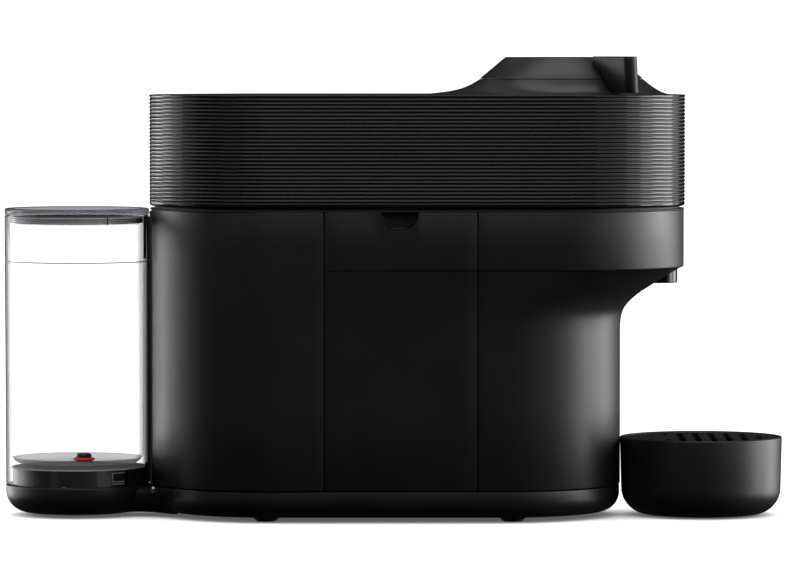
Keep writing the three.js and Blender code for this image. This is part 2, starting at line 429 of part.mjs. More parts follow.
// ---------------------------------------------------------------- piercing rotor in the head
const pins = [];
for (let i = 0; i < 6; i++) {
  const a = rad(60 * i + 30);
  pins.push(lathe([[0, 167.2], [0.5, 167.4], [1.8, 173.2], [0, 173.2]], TURRET_X + 24 * Math.cos(a), 24 * Math.sin(a), 6));
}
add('pierce_rotor', join(lathe([[0, 172.6], [31, 172.6], [31, 175.4], [8, 175.4], [8, 190.2], [0, 190.2]], TURRET_X, 0, 32), ...pins,
  lathe([[0, 165.8], [0.6, 166], [2.4, 173.2], [0, 173.2]], TURRET_X, 0, 8)), STEEL);

export default machine;
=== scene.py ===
import bpy, bmesh, json, math
from math import cos, sin, pi, radians, sqrt, atan2, acos, tan, hypot
from mathutils import Vector, Matrix


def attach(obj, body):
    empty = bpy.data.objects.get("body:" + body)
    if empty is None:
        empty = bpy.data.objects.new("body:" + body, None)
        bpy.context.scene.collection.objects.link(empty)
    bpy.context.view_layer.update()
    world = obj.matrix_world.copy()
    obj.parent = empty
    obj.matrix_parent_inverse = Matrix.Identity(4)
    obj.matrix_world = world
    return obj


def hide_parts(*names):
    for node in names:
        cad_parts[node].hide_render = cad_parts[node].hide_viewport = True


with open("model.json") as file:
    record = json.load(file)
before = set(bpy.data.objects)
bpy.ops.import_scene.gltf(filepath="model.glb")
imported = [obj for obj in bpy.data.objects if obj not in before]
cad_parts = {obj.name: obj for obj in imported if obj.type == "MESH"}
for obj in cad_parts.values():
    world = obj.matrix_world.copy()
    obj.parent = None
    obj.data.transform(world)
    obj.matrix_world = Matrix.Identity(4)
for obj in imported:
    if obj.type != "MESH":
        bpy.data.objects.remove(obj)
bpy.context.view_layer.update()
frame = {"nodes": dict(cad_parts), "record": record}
NODES = frame["nodes"]
MM = 0.001

# ------------------------------------------------------------------ dimensions, in mm
HEAD_X0, HEAD_X1, HEAD_R, HEAD_Z0, HEAD_Z1 = -133.9, 160.5, 68.0, 170.4, 231.4
BODY_X0, BAND_X1, BAND_R, BODY_Z0, BODY_Z1, BAND_Z0 = -132.9, 159.9, 67.4, 17.8, 168.5, 136.7
LOW_X1, LOW_RF, LOW_RR = 125.0, 65.4, 67.2
BASE_Z0, BASE_Z1, BASE_FILLET, BASE_R = 2.7, 17.3, 10.2, 66.2
BIN_X0, BIN_X1, SEAM = -37.2, 45.7, 0.6
SCOOP_X, SCOOP_R = 3.6, 10.2
TX = 92.5
NOZZLE_X, NOZZLE_R = 145.0, 11.5
TANK_X, TANK_R = -173.9, 39.7
VALVE_X = -170.3
TRAY_X, TRAY_R = 169.4, 44.2
GRID_Z0, GRID_Z1, GRID_R = 40.0, 43.0, 41.1

# ------------------------------------------------------------------ mesh helpers
def make(name, verts, faces, mats, face_mats=None, bevel=0.0, bevel_seg=2, bevel_angle=50, sharp=32, weld=1e-6):
    me = bpy.data.meshes.new(name)
    me.from_pydata([tuple(c * MM for c in v) for v in verts], [], faces)
    for m in mats:
        me.materials.append(m)
    if face_mats:
        for p, i in zip(me.polygons, face_mats):
            p.material_index = i
    bm = bmesh.new()
    bm.from_mesh(me)
    bmesh.ops.remove_doubles(bm, verts=bm.verts, dist=weld)
    bmesh.ops.dissolve_degenerate(bm, dist=1e-7, edges=bm.edges)
    bmesh.ops.recalc_face_normals(bm, faces=bm.faces)
    if bevel > 0:
        lim = radians(bevel_angle)
        edges = [e for e in bm.edges if len(e.link_faces) == 2 and e.calc_face_angle(0) > lim]
        bmesh.ops.bevel(bm, geom=edges, offset=bevel * MM, offset_type="OFFSET", segments=bevel_seg, profile=0.5,
                        affect="EDGES", clamp_overlap=True)
        bmesh.ops.recalc_face_normals(bm, faces=bm.faces)
    bm.to_mesh(me)
    bm.free()
    me.polygons.foreach_set("use_smooth", [True] * len(me.polygons))
    me.set_sharp_from_angle(angle=radians(sharp))
    ob = bpy.data.objects.new(name, me)
    bpy.context.scene.collection.objects.link(ob)
    return ob


def rounded(points, r=0.4, n=4, closed=True):
    """points (a, b) or (a, b, radius): each corner becomes a small arc."""
    out, N = [], len(points)
    for i, p in enumerate(points):
        P = Vector(p[:2])
        rr = p[2] if len(p) > 2 else r
        if (not closed and i in (0, N - 1)) or rr <= 0:
            out.append(tuple(P)); continue
        u, v = Vector(points[i - 1][:2]) - P, Vector(points[(i + 1) % N][:2]) - P
        lu, lv = u.length, v.length
        u.normalize(); v.normalize()
        ang = acos(max(-1, min(1, u.dot(v))))
        if ang > pi - 0.04 or ang < 0.02:
            out.append(tuple(P)); continue
        d = min(rr / tan(ang / 2), lu * 0.49, lv * 0.49)
        r2 = d * tan(ang / 2)
        C = P + (u + v).normalized() * (r2 / sin(ang / 2))
        s, e = P + u * d - C, P + v * d - C
        a0, a1 = atan2(s.y, s.x), atan2(e.y, e.x)
        da = (a1 - a0 + pi) % (2 * pi) - pi
        k = max(1, int(round(n * max(0.35, min(1.0, abs(da) / (pi / 2))))))
        for j in range(k + 1):
            a = a0 + da * j / k
            out.append((C.x + r2 * cos(a), C.y + r2 * sin(a)))
    return out


def lathe(name, profile, cx, cy, mats, seg=96, sharp=32, face_index=None):
    """revolved (r, z) profile: open when it starts and ends on the axis, closed ring otherwise."""
    on_axis = profile[0][0] < 1e-6 and profile[-1][0] < 1e-6
    verts, rows = [], []
    for r, z in profile:
        if r < 1e-6:
            rows.append([len(verts)] * seg)
            verts.append((cx, cy, z))
        else:
            rows.append(list(range(len(verts), len(verts) + seg)))
            verts += [(cx + r * cos(2 * pi * i / seg), cy + r * sin(2 * pi * i / seg), z) for i in range(seg)]
    faces, fm = [], []
    pairs = list(zip(range(len(profile) - 1), range(1, len(profile))))
    if not on_axis:
        pairs.append((len(profile) - 1, 0))
    for a, b in pairs:
        for i in range(seg):
            j = (i + 1) % seg
            q = [rows[a][i], rows[a][j], rows[b][j], rows[b][i]]
            f = []
            for x in q:
                if x not in f:
                    f.append(x)
            if len(f) > 2:
                faces.append(f)
                fm.append(face_index(a) if face_index else 0)
    return make(name, verts, faces, mats, fm, sharp=sharp)


def ring(x0, x1, rr, rf, arc=56, straight=14):
    """stadium outline, from the near rear corner round the front to the far side and back round the rear"""
    pts = []
    cf, cr = x1 - rf, x0 + rr
    for i in range(straight):
        t = i / straight
        pts.append((cr + (cf - cr) * t, -(rr + (rf - rr) * t)))
    for i in range(arc):
        a = -pi / 2 + pi * i / arc
        pts.append((cf + rf * cos(a), rf * sin(a)))
    for i in range(straight):
        t = i / straight
        pts.append((cf + (cr - cf) * t, rf + (rr - rf) * t))
    for i in range(arc):
        a = pi / 2 + pi * i / arc
        pts.append((cr + rr * cos(a), rr * sin(a)))
    return pts


def sweep(name, profile, x0, x1, R, mats, face_index=None, closed=True, caps=False, sharp=32, arc=56, straight=14):
    """profile (inset, z) carried round a stadium outline"""
    verts, n = [], None
    for d, z in profile:
        rg = ring(x0 + d, x1 - d, R - d, R - d, arc, straight)
        n = len(rg)
        verts += [(x, y, z) for x, y in rg]
    faces, fm = [], []
    P = len(profile)
    pairs = list(zip(range(P - 1), range(1, P))) + ([(P - 1, 0)] if closed else [])
    for a, b in pairs:
        for i in range(n):
            j = (i + 1) % n
            faces.append([a * n + i, a * n + j, b * n + j, b * n + i])
            fm.append(face_index(a) if face_index else 0)
    if caps:
        faces.append(list(range(n))[::-1]); fm.append(0)
        faces.append([(P - 1) * n + i for i in range(n)]); fm.append(0)
    return make(name, verts, faces, mats, fm, sharp=sharp)


def plate_xz(name, pts, y0, y1, mats, bevel=0.4):
    n = len(pts)
    verts = [(x, y0, z) for x, z in pts] + [(x, y1, z) for x, z in pts]
    faces = [list(range(n)), [n + i for i in range(n)][::-1]] + [[i, (i + 1) % n, n + (i + 1) % n, n + i] for i in range(n)]
    return make(name, verts, faces, mats, bevel=bevel)


def boolean(ob, cutter, op="DIFFERENCE"):
    m = ob.modifiers.new("b", "BOOLEAN")
    m.operation, m.object, m.solver = op, cutter, "EXACT"
    dg = bpy.context.evaluated_depsgraph_get()
    new = bpy.data.meshes.new_from_object(ob.evaluated_get(dg))
    ob.modifiers.clear()
    old = ob.data
    ob.data = new
    bpy.data.meshes.remove(old)
    me = cutter.data
    bpy.data.objects.remove(cutter)
    bpy.data.meshes.remove(me)
    ob.data.polygons.foreach_set("use_smooth", [True] * len(ob.data.polygons))
    ob.data.set_sharp_from_angle(angle=radians(32))
    return ob


def refine(node_name, new_name, mats, bevel=0.5, seg=2, angle=24, sharp=34):
    """a moulded or stamped version of a plain CAD node: flats merged, edges rounded, shading smoothed"""
    bm = bmesh.new()
    bm.from_mesh(NODES[node_name].data)
    bmesh.ops.remove_doubles(bm, verts=bm.verts, dist=1e-6)
    bmesh.ops.dissolve_limit(bm, angle_limit=radians(1.0), use_dissolve_boundaries=False, verts=bm.verts, edges=bm.edges)
    lim = radians(angle)
    edges = [e for e in bm.edges if len(e.link_faces) == 2 and e.calc_face_angle(0) > lim]
    if bevel > 0 and edges:
        bmesh.ops.bevel(bm, geom=edges, offset=bevel * MM, offset_type="OFFSET", segments=seg, profile=0.5, affect="EDGES", clamp_overlap=True)
    bmesh.ops.recalc_face_normals(bm, faces=bm.faces)
    me = bpy.data.meshes.new(new_name)
    bm.to_mesh(me)
    bm.free()
    for m in mats:
        me.materials.append(m)
    me.polygons.foreach_set("use_smooth", [True] * len(me.polygons))
    me.set_sharp_from_angle(angle=radians(sharp))
    ob = bpy.data.objects.new(new_name, me)
    bpy.context.scene.collection.objects.link(ob)
    return ob


def prism_xy(name, outlines, mats, bevel=0.3):
    """outlines: list of (points in x, y, z0, z1), each pushed up in z"""
    verts, faces = [], []
    for pts, z0, z1 in outlines:
        k, n = len(verts), len(pts)
        verts += [(x, y, z0) for x, y in pts] + [(x, y, z1) for x, y in pts]
        faces += [[k + i for i in range(n)][::-1], [k + n + i for i in range(n)]]
        faces += [[k + i, k + (i + 1) % n, k + n + (i + 1) % n, k + n + i] for i in range(n)]
    return make(name, verts, faces, mats, bevel=bevel)


def tube_along(name, pts, radius, mats, sides=20, closed_ends=True):
    """round tube along a list of points, with a frame carried along the path"""
    P = [Vector(q) for q in pts]
    T = [(P[min(i + 1, len(P) - 1)] - P[max(i - 1, 0)]).normalized() for i in range(len(P))]
    up = Vector((0, 0, 1)) if abs(T[0].z) < 0.9 else Vector((1, 0, 0))
    N = (up - T[0] * up.dot(T[0])).normalized()
    verts, faces = [], []
    for i, (q, t) in enumerate(zip(P, T)):
        N = (N - t * N.dot(t)).normalized()
        B = t.cross(N)
        verts += [tuple(q + (N * cos(2 * pi * k / sides) + B * sin(2 * pi * k / sides)) * radius) for k in range(sides)]
    for i in range(len(P) - 1):
        for k in range(sides):
            faces.append([i * sides + k, i * sides + (k + 1) % sides, (i + 1) * sides + (k + 1) % sides, (i + 1) * sides + k])
    if closed_ends:
        faces.append(list(range(sides))[::-1]); faces.append([(len(P) - 1) * sides + k for k in range(sides)])
    return make(name, verts, faces, mats, sharp=50)


def catmull(pts, steps=10):
    P = [Vector(q) for q in pts]
    P = [P[0] * 2 - P[1]] + P + [P[-1] * 2 - P[-2]]
    out = []
    for i in range(1, len(P) - 2):
        for k in range(steps):
            t = k / steps
            a, b, c, d = P[i - 1], P[i], P[i + 1], P[i + 2]
            out.append(tuple(0.5 * ((2 * b) + (c - a) * t + (2 * a - 5 * b + 4 * c - d) * t * t + (3 * b - a - 3 * c + d) * t ** 3)))
    out.append(tuple(P[-2]))
    return out


def coil(name, cx, cy, r, wire, z0, z1, turns, mats, per=28):
    n = int(turns * per)
    pts = []
    for i in range(n + 1):
        t = i / n
        # closed, ground ends: the pitch is small over the first and last half turn
        u = min(1.0, max(0.0, (t * turns - 0.6) / (turns - 1.2)))
        pts.append((cx + r * cos(2 * pi * t * turns), cy + r * sin(2 * pi * t * turns), z0 + wire + (z1 - z0 - 2 * wire) * u))
    return tube_along(name, pts, wire, mats, sides=12)


def arc_strip(name, cx, cy, r0, r1, a0, a1, z0, z1, mats, seg=24, bevel=0.08):
    """part of a ring: radii r0..r1, azimuth a0..a1 in degrees, height z0..z1"""
    pts = [(cx + r1 * cos(radians(a0 + (a1 - a0) * i / seg)), cy + r1 * sin(radians(a0 + (a1 - a0) * i / seg))) for i in range(seg + 1)]
    pts += [(cx + r0 * cos(radians(a1 + (a0 - a1) * i / seg)), cy + r0 * sin(radians(a1 + (a0 - a1) * i / seg))) for i in range(seg + 1)]
    return prism_xy(name, [(pts, z0, z1)], mats, bevel=bevel)

# ------------------------------------------------------------------ materials
def new_mat(name):
    m = bpy.data.materials.new(name)
    m.use_nodes = True
    nt = m.node_tree
    return m, nt, nt.nodes["Principled BSDF"]


def node(nt, kind, **inputs):
    n = nt.nodes.new(kind)
    for k, v in inputs.items():
        n.inputs[k.replace("_", " ")].default_value = v
    return n


def plastic(name, color, rough, vary=0.05, grain=2600.0, bump=0.000012, ior=1.47, tone=0.12, patch=26.0):
    """moulded plastic: fine spark-eroded grain, slow drift in gloss and tone"""
    m, nt, b = new_mat(name)
    tc = nt.nodes.new("ShaderNodeTexCoord")
    slow = node(nt, "ShaderNodeTexNoise", Scale=patch, Detail=4.0, Roughness=0.55)
    nt.links.new(tc.outputs["Object"], slow.inputs["Vector"])
    rr = nt.nodes.new("ShaderNodeMapRange")
    rr.inputs["To Min"].default_value, rr.inputs["To Max"].default_value = rough - vary, rough + vary
    nt.links.new(slow.outputs["Fac"], rr.inputs["Value"])
    nt.links.new(rr.outputs["Result"], b.inputs["Roughness"])
    ramp = nt.nodes.new("ShaderNodeValToRGB")
    lo, hi = [c * (1 - tone) for c in color], [c * (1 + tone) for c in color]
    ramp.color_ramp.elements[0].position, ramp.color_ramp.elements[1].position = 0.35, 0.65
    ramp.color_ramp.elements[0].color, ramp.color_ramp.elements[1].color = (*lo, 1), (*hi, 1)
    nt.links.new(slow.outputs["Fac"], ramp.inputs["Fac"])
    nt.links.new(ramp.outputs["Color"], b.inputs["Base Color"])
    if bump:
        fine = node(nt, "ShaderNodeTexNoise", Scale=grain, Detail=2.0, Roughness=0.6)
        nt.links.new(tc.outputs["Object"], fine.inputs["Vector"])
        bp = nt.nodes.new("ShaderNodeBump")
        bp.inputs["Strength"].default_value, bp.inputs["Distance"].default_value = 1.0, bump
        nt.links.new(fine.outputs["Fac"], bp.inputs["Height"])
        nt.links.new(bp.outputs["Normal"], b.inputs["Normal"])
    b.inputs["IOR"].default_value = ior
    return m


def metal(name, color, rough, stretch=(1, 1, 1), scale=400.0):
    m, nt, b = new_mat(name)
    b.inputs["Metallic"].default_value = 1.0
    tc = nt.nodes.new("ShaderNodeTexCoord")
    mp = nt.nodes.new("ShaderNodeMapping")
    mp.inputs["Scale"].default_value = stretch
    nz = node(nt, "ShaderNodeTexNoise", Scale=scale, Detail=3.0)
    nt.links.new(tc.outputs["Object"], mp.inputs["Vector"])
    nt.links.new(mp.outputs["Vector"], nz.inputs["Vector"])
    rr = nt.nodes.new("ShaderNodeMapRange")
    rr.inputs["To Min"].default_value, rr.inputs["To Max"].default_value = rough - 0.08, rough + 0.1
    nt.links.new(nz.outputs["Fac"], rr.inputs["Value"])
    nt.links.new(rr.outputs["Result"], b.inputs["Roughness"])
    ramp = nt.nodes.new("ShaderNodeValToRGB")
    ramp.color_ramp.elements[0].color = (*[c * 0.85 for c in color], 1)
    ramp.color_ramp.elements[1].color = (*[min(1, c * 1.1) for c in color], 1)
    nt.links.new(nz.outputs["Fac"], ramp.inputs["Fac"])
    nt.links.new(ramp.outputs["Color"], b.inputs["Base Color"])
    return m


def clear(name, tint, rough, ior=1.49):
    m, nt, b = new_mat(name)
    b.inputs["Transmission Weight"].default_value = 1.0
    b.inputs["IOR"].default_value = ior
    tc = nt.nodes.new("ShaderNodeTexCoord")
    nz = node(nt, "ShaderNodeTexNoise", Scale=18.0, Detail=2.0)
    nt.links.new(tc.outputs["Object"], nz.inputs["Vector"])
    rr = nt.nodes.new("ShaderNodeMapRange")
    rr.inputs["To Min"].default_value, rr.inputs["To Max"].default_value = max(0.0, rough - 0.01), rough + 0.015
    nt.links.new(nz.outputs["Fac"], rr.inputs["Value"])
    nt.links.new(rr.outputs["Result"], b.inputs["Roughness"])
    ramp = nt.nodes.new("ShaderNodeValToRGB")
    ramp.color_ramp.elements[0].color = (*[c * 0.985 for c in tint], 1)
    ramp.color_ramp.elements[1].color = (*tint, 1)
    nt.links.new(nz.outputs["Fac"], ramp.inputs["Fac"])
    nt.links.new(ramp.outputs["Color"], b.inputs["Base Color"])
    return m


SATIN = plastic("satin_black", (0.0085, 0.0088, 0.0088), 0.40)
SATIN_TOP = plastic("satin_black_top", (0.0095, 0.0095, 0.0096), 0.36)
CREST = plastic("rib_crest_gloss", (0.006, 0.006, 0.006), 0.13, vary=0.02, bump=0.0)
GROOVE = plastic("rib_groove_matte", (0.022, 0.022, 0.022), 0.50, bump=0.000008)
GLOSS = plastic("gloss_black", (0.006, 0.006, 0.006), 0.08, vary=0.02, bump=0.0, ior=1.5)
INNER = plastic("inner_black", (0.014, 0.014, 0.0145), 0.55, grain=1800, bump=0.00002)
RUBBER = plastic("rubber_black", (0.011, 0.011, 0.011), 0.8, grain=1500, bump=0.00003)
RED = plastic("seal_red", (0.62, 0.028, 0.012), 0.45, grain=1500, bump=0.00001, tone=0.06)
LIGHT = plastic("light_white", (0.55, 0.55, 0.53), 0.3, bump=0.0, tone=0.04)
BOARD = plastic("board_green", (0.015, 0.09, 0.03), 0.4, patch=300, tone=0.5)
CLEAR = clear("tank_clear", (0.985, 0.99, 0.99), 0.01)
SMOKE = clear("lid_smoke", (0.62, 0.63, 0.64), 0.03)
LID_RIM = None
STEEL = metal("steel", (0.55, 0.56, 0.57), 0.32, stretch=(1, 14, 1))
ALU = metal("aluminium", (0.5, 0.51, 0.52), 0.45)
DARK_STRIP = plastic("strip_black", (0.006, 0.006, 0.006), 0.35, bump=0.0)
MARK = plastic("mark_grey", (0.11, 0.11, 0.112), 0.4, bump=0.0)

WINDOW = plastic("window_line", (0.34, 0.35, 0.35), 0.35, bump=0.0)
def thin_clear(name, tint, gloss=0.05, edge=(0.45, 0.455, 0.46), f0=0.012, side=None, cloud=0.0, cloud_color=(0.4, 0.4, 0.4), rise=0.5, p=5.0, k=0.3, stops=None):
    """thin moulded clear plastic: passes what is behind it, darker and shinier where it is seen edge-on"""
    m = bpy.data.materials.new(name)
    m.use_nodes = True
    nt = m.node_tree
    out = nt.nodes["Material Output"]
    nt.nodes.remove(nt.nodes["Principled BSDF"])
    lw = node(nt, "ShaderNodeLayerWeight", Blend=0.5)
    tc = nt.nodes.new("ShaderNodeTexCoord")
    nz = node(nt, "ShaderNodeTexNoise", Scale=22.0, Detail=2.0)
    nt.links.new(tc.outputs["Object"], nz.inputs["Vector"])
    def math(op, a, b=None):
        n = nt.nodes.new("ShaderNodeMath"); n.operation = op
        for i, v in enumerate((a, b)):
            if v is None: continue
            if isinstance(v, (int, float)): n.inputs[i].default_value = v
            else: nt.links.new(v, n.inputs[i])
        return n.outputs[0]
    ramp = nt.nodes.new("ShaderNodeValToRGB")
    ramp.color_ramp.interpolation = "EASE"
    e = ramp.color_ramp.elements
    e[0].position, e[0].color = rise, (*tint, 1)
    e[1].position, e[1].color = 1.0, (*edge, 1)
    if stops:
        ramp.color_ramp.interpolation = "LINEAR"
        for at, v in stops:
            el = ramp.color_ramp.elements.new(at)
            el.color = (v, v, v * 1.005, 1)
    nt.links.new(lw.outputs["Facing"], ramp.inputs["Fac"])
    color = ramp.outputs["Color"]
    tone = nt.nodes.new("ShaderNodeMapRange")
    tone.inputs["To Min"].default_value, tone.inputs["To Max"].default_value = 0.995, 1.0
    nt.links.new(nz.outputs["Fac"], tone.inputs["Value"])
    mul = nt.nodes.new("ShaderNodeMix"); mul.data_type = "RGBA"; mul.blend_type = "MULTIPLY"; mul.inputs["Factor"].default_value = 1.0
    nt.links.new(color, mul.inputs["A"]); nt.links.new(tone.outputs["Result"], mul.inputs["B"])
    color = mul.outputs["Result"]
    # side (x0, x1, darkest): painted shade, the colour is multiplied from 1 down to its darkest value across object
    # x0..x1, darkening the wall on the side that faces the machine body
    if side:
        x0, x1, side_shade_least = side
        sep = nt.nodes.new("ShaderNodeSeparateXYZ")
        nt.links.new(tc.outputs["Object"], sep.inputs[0])
        painted_shade_range = nt.nodes.new("ShaderNodeMapRange"); painted_shade_range.interpolation_type = "SMOOTHSTEP"
        painted_shade_range.inputs["From Min"].default_value, painted_shade_range.inputs["From Max"].default_value = x0, x1
        painted_shade_range.inputs["To Min"].default_value, painted_shade_range.inputs["To Max"].default_value = 1.0, side_shade_least
        nt.links.new(sep.outputs["X"], painted_shade_range.inputs["Value"])
        m2 = nt.nodes.new("ShaderNodeMix"); m2.data_type = "RGBA"; m2.blend_type = "MULTIPLY"; m2.inputs["Factor"].default_value = 1.0
        nt.links.new(color, m2.inputs["A"]); nt.links.new(painted_shade_range.outputs["Result"], m2.inputs["B"])
        color = m2.outputs["Result"]
    tr = nt.nodes.new("ShaderNodeBsdfTransparent")
    nt.links.new(color, tr.inputs["Color"])
    body = tr.outputs[0]
    if cloud > 0:
        df = node(nt, "ShaderNodeBsdfDiffuse", Color=(*cloud_color, 1))
        mc = nt.nodes.new("ShaderNodeMixShader"); mc.inputs["Fac"].default_value = cloud
        nt.links.new(body, mc.inputs[1]); nt.links.new(df.outputs[0], mc.inputs[2])
        body = mc.outputs[0]
    gl = node(nt, "ShaderNodeBsdfGlossy", Color=(1, 1, 1, 1), Roughness=gloss)
    fac = math("ADD", math("MULTIPLY", math("POWER", lw.outputs["Facing"], p), k), f0)
    ms = nt.nodes.new("ShaderNodeMixShader")
    nt.links.new(fac, ms.inputs["Fac"])
    nt.links.new(body, ms.inputs[1]); nt.links.new(gl.outputs[0], ms.inputs[2])
    nt.links.new(ms.outputs[0], out.inputs["Surface"])
    return m
# CLEAR and CLEAR_IN take a painted shade through side: the tank wall darkens toward its +x side, where it faces the
# machine body, to 0.55 outside and 0.75 inside
CLEAR = thin_clear("tank_clear_thin", (0.998, 0.999, 0.999), edge=(0.12, 0.122, 0.124), rise=0.56, k=0.25, side=(-0.1425, -0.1350, 0.55), stops=((0.61, 0.93), (0.65, 0.74), (0.70, 0.55), (0.76, 0.40), (0.83, 0.27), (0.91, 0.16)))
CLEAR_IN = thin_clear("tank_clear_inside", (0.998, 0.999, 0.999), edge=(0.78, 0.785, 0.79), rise=0.82, k=0.1, side=(-0.1425, -0.1360, 0.75))
SMOKE = thin_clear("lid_smoke_thin", (0.84, 0.845, 0.85), edge=(0.82, 0.825, 0.83), f0=0.02, p=8.0, k=0.08)
LID_RIM = thin_clear("lid_rim_thin", (0.34, 0.345, 0.35), edge=(0.22, 0.222, 0.225), f0=0.03, gloss=0.15, k=0.12)
PALE = thin_clear("silicone_pale", (0.86, 0.865, 0.87), edge=(0.6, 0.6, 0.6), f0=0.02, gloss=0.3, cloud=0.10, cloud_color=(0.6, 0.605, 0.61), k=0.1)
# a darker copy of the pale silicone for the seal's ridges: painted shade
PALE_RIB_SHADE = thin_clear("silicone_ridge_painted_shade", (0.70, 0.705, 0.71), edge=(0.5, 0.5, 0.5), f0=0.02, gloss=0.3, cloud=0.25, cloud_color=(0.4, 0.405, 0.41), k=0.1)
FROST = thin_clear("tank_floor_frosted", (0.62, 0.625, 0.63), edge=(0.42, 0.42, 0.42), f0=0.03, gloss=0.3, cloud=0.5, cloud_color=(0.6, 0.605, 0.61), k=0.1)
SLOT_MAT = {"satin_black": SATIN, "inner_black": INNER, "gloss_black": GLOSS, "rubber_black": RUBBER, "tank_clear": CLEAR,
            "lid_smoke": SMOKE, "seal_red": RED, "steel": STEEL, "aluminium": ALU, "board_green": BOARD, "light_white": LIGHT}
for sp in frame["record"]["subparts"]:
    ob = NODES[sp["node"]]
    ob.data.materials.clear()
    ob.data.materials.append(SLOT_MAT[sp["material_slot"]])


def piece(ob, body, slot, *nodes):
    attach(ob, body)
    if nodes:
        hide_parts(*nodes)
    return ob

# ------------------------------------------------------------------ head: ribbed band
RIBS, PITCH = 29, 2.02
RIB_Z0 = 172.75
prof, kind = [], []
def pp(d, z, k=0):
    prof.append((d, z)); kind.append(k)
for i in range(7):                       # rounded lower edge
    a = (pi / 2) * i / 6
    pp(0.05 + 1.9 * (1 - sin(a)), HEAD_Z0 + 1.5 * (1 - cos(a)), 0)
DEPTH = 0.42
for k in range(RIBS):
    z = RIB_Z0 + k * PITCH
    # groove then crest
    pp(0.10, z + 0.02, 1); pp(DEPTH * 0.8, z + 0.16, 1); pp(DEPTH, z + 0.34, 1); pp(DEPTH, z + 0.62, 1); pp(DEPTH * 0.8, z + 0.80, 1); pp(0.10, z + 0.94, 0)
    pp(0.02, z + 1.10, 0); pp(0.0, z + 1.48, 0); pp(0.02, z + 1.86, 0)
for i in range(5):
    a = (pi / 2) * i / 4
    pp(0.05 + 0.55 * (1 - cos(a)), HEAD_Z1 - 0.3 * (1 - sin(a)), 2)
pp(2.9, HEAD_Z1 - 0.02, 2)
pp(3.0, HEAD_Z1 - 0.4, 2)
pp(3.0, 190.0, 2); pp(3.0, HEAD_Z0 + 0.3, 0); pp(2.7, HEAD_Z0, 0)
band = sweep("head_ribbed_band", prof, HEAD_X0, HEAD_X1, HEAD_R, [CREST, GROOVE, SATIN_TOP], face_index=lambda a: kind[a], arc=72, straight=10, sharp=40)
piece(band, "head", "satin_black", "head_band")

# ------------------------------------------------------------------ head: top with raised collar
FRONT_C = [(44.75, 8.5), (46.2, 7.35), (47.8, 6.05), (49.8, 4.6), (51.9, 3.2), (54.0, 2.0), (56.5, 0.95), (59.0, 0.25), (61.0, 0.0)]
SIDE_C = [(44.75, 8.5), (45.9, 7.0), (47.2, 5.4), (48.6, 3.9), (50.2, 2.5), (51.8, 1.35), (53.4, 0.55), (54.8, 0.12), (56.0, 0.0)]
REAR_C = [(44.75, 8.5), (46.6, 7.35), (48.8, 6.05), (51.4, 4.8), (54.6, 3.5), (58.8, 2.4), (64.0, 1.5), (70.5, 0.75), (80.0, 0.0)]
def collar(k, az):
    """row k of the collar: (radius, height over the head's top), blended from side to front or rear by azimuth"""
    c = cos(az)
    w = c * c
    other = FRONT_C if c > 0 else REAR_C
    r = SIDE_C[k][0] * (1 - w) + other[k][0] * w
    z = SIDE_C[k][1] * (1 - w) + other[k][1] * w
    return r, z
AZ = 240
rows = []
def hit(az):
    """distance from the turret axis to the head's outline along az"""
    c, s = cos(az), sin(az)
    lo, hi = 0.0, 400.0
    for _ in range(50):
        m = (lo + hi) / 2
        x, y = TX + m * c, m * s
        cx = min(max(x, HEAD_X0 + HEAD_R), HEAD_X1 - HEAD_R)
        if hypot(x - cx, y) < HEAD_R - 3.15: lo = m
        else: hi = m
    return lo
verts, levels = [], []
azs = [2 * pi * i / AZ for i in range(AZ)]
edge = [hit(a) for a in azs]
def row(fn):
    levels.append([len(verts) + i for i in range(AZ)])
    for i, a in enumerate(azs):
        r, z = fn(a, i)
        verts.append((TX + r * cos(a), r * sin(a), z))
row(lambda a, i: (42.05, 229.6))
row(lambda a, i: (42.05, HEAD_Z1 + 8.85))
row(lambda a, i: (42.2, HEAD_Z1 + 9.0))
row(lambda a, i: (43.2, HEAD_Z1 + 9.0))
row(lambda a, i: (43.3, HEAD_Z1 + 8.9))
row(lambda a, i: (43.35, HEAD_Z1 + 8.52))
row(lambda a, i: (44.55, HEAD_Z1 + 8.52))
for k in range(len(FRONT_C)):
    row(lambda a, i, k=k: (min(collar(k, a)[0], edge[i] - 0.9 + 0.07 * k), HEAD_Z1 + collar(k, a)[1]))
    if k + 1 < len(FRONT_C):
        row(lambda a, i, k=k: (min((collar(k, a)[0] + collar(k + 1, a)[0]) / 2, edge[i] - 0.9 + 0.07 * (k + 0.5)), HEAD_Z1 + 0.5 * (collar(k, a)[1] + collar(k + 1, a)[1]) - 0.02))
row(lambda a, i: (edge[i] - 0.12, HEAD_Z1 - 0.01))
row(lambda a, i: (edge[i], HEAD_Z1 - 0.15))
row(lambda a, i: (edge[i], 229.6))
row(lambda a, i: (edge[i] - 0.4, 229.5))
row(lambda a, i: (42.3, 229.5))
faces = []
L = len(levels)
for a in range(L):
    b = (a + 1) % L
    for i in range(AZ):
        j = (i + 1) % AZ
        faces.append([levels[a][i], levels[a][j], levels[b][j], levels[b][i]])
top = make("head_top_cover", verts, faces, [SATIN_TOP], sharp=40)
piece(top, "head", "satin_black", "head_top")

piece(sweep("neck_ring_moulded", [(5.55, 167.4), (5.4, 167.6), (5.4, 168.55), (0.5, 168.6), (0.3, 168.75), (0.3, 169.1), (0.5, 169.25), (3.0, 169.35), (3.0, 170.4), (3.1, 170.55), (5.4, 170.7), (5.4, 171.6), (5.7, 171.9), (7.4, 171.9), (7.6, 171.7), (7.6, 167.6), (7.45, 167.4)], HEAD_X0, HEAD_X1, HEAD_R, [INNER], arc=64, straight=8), "head", "inner_black", "neck_ring")

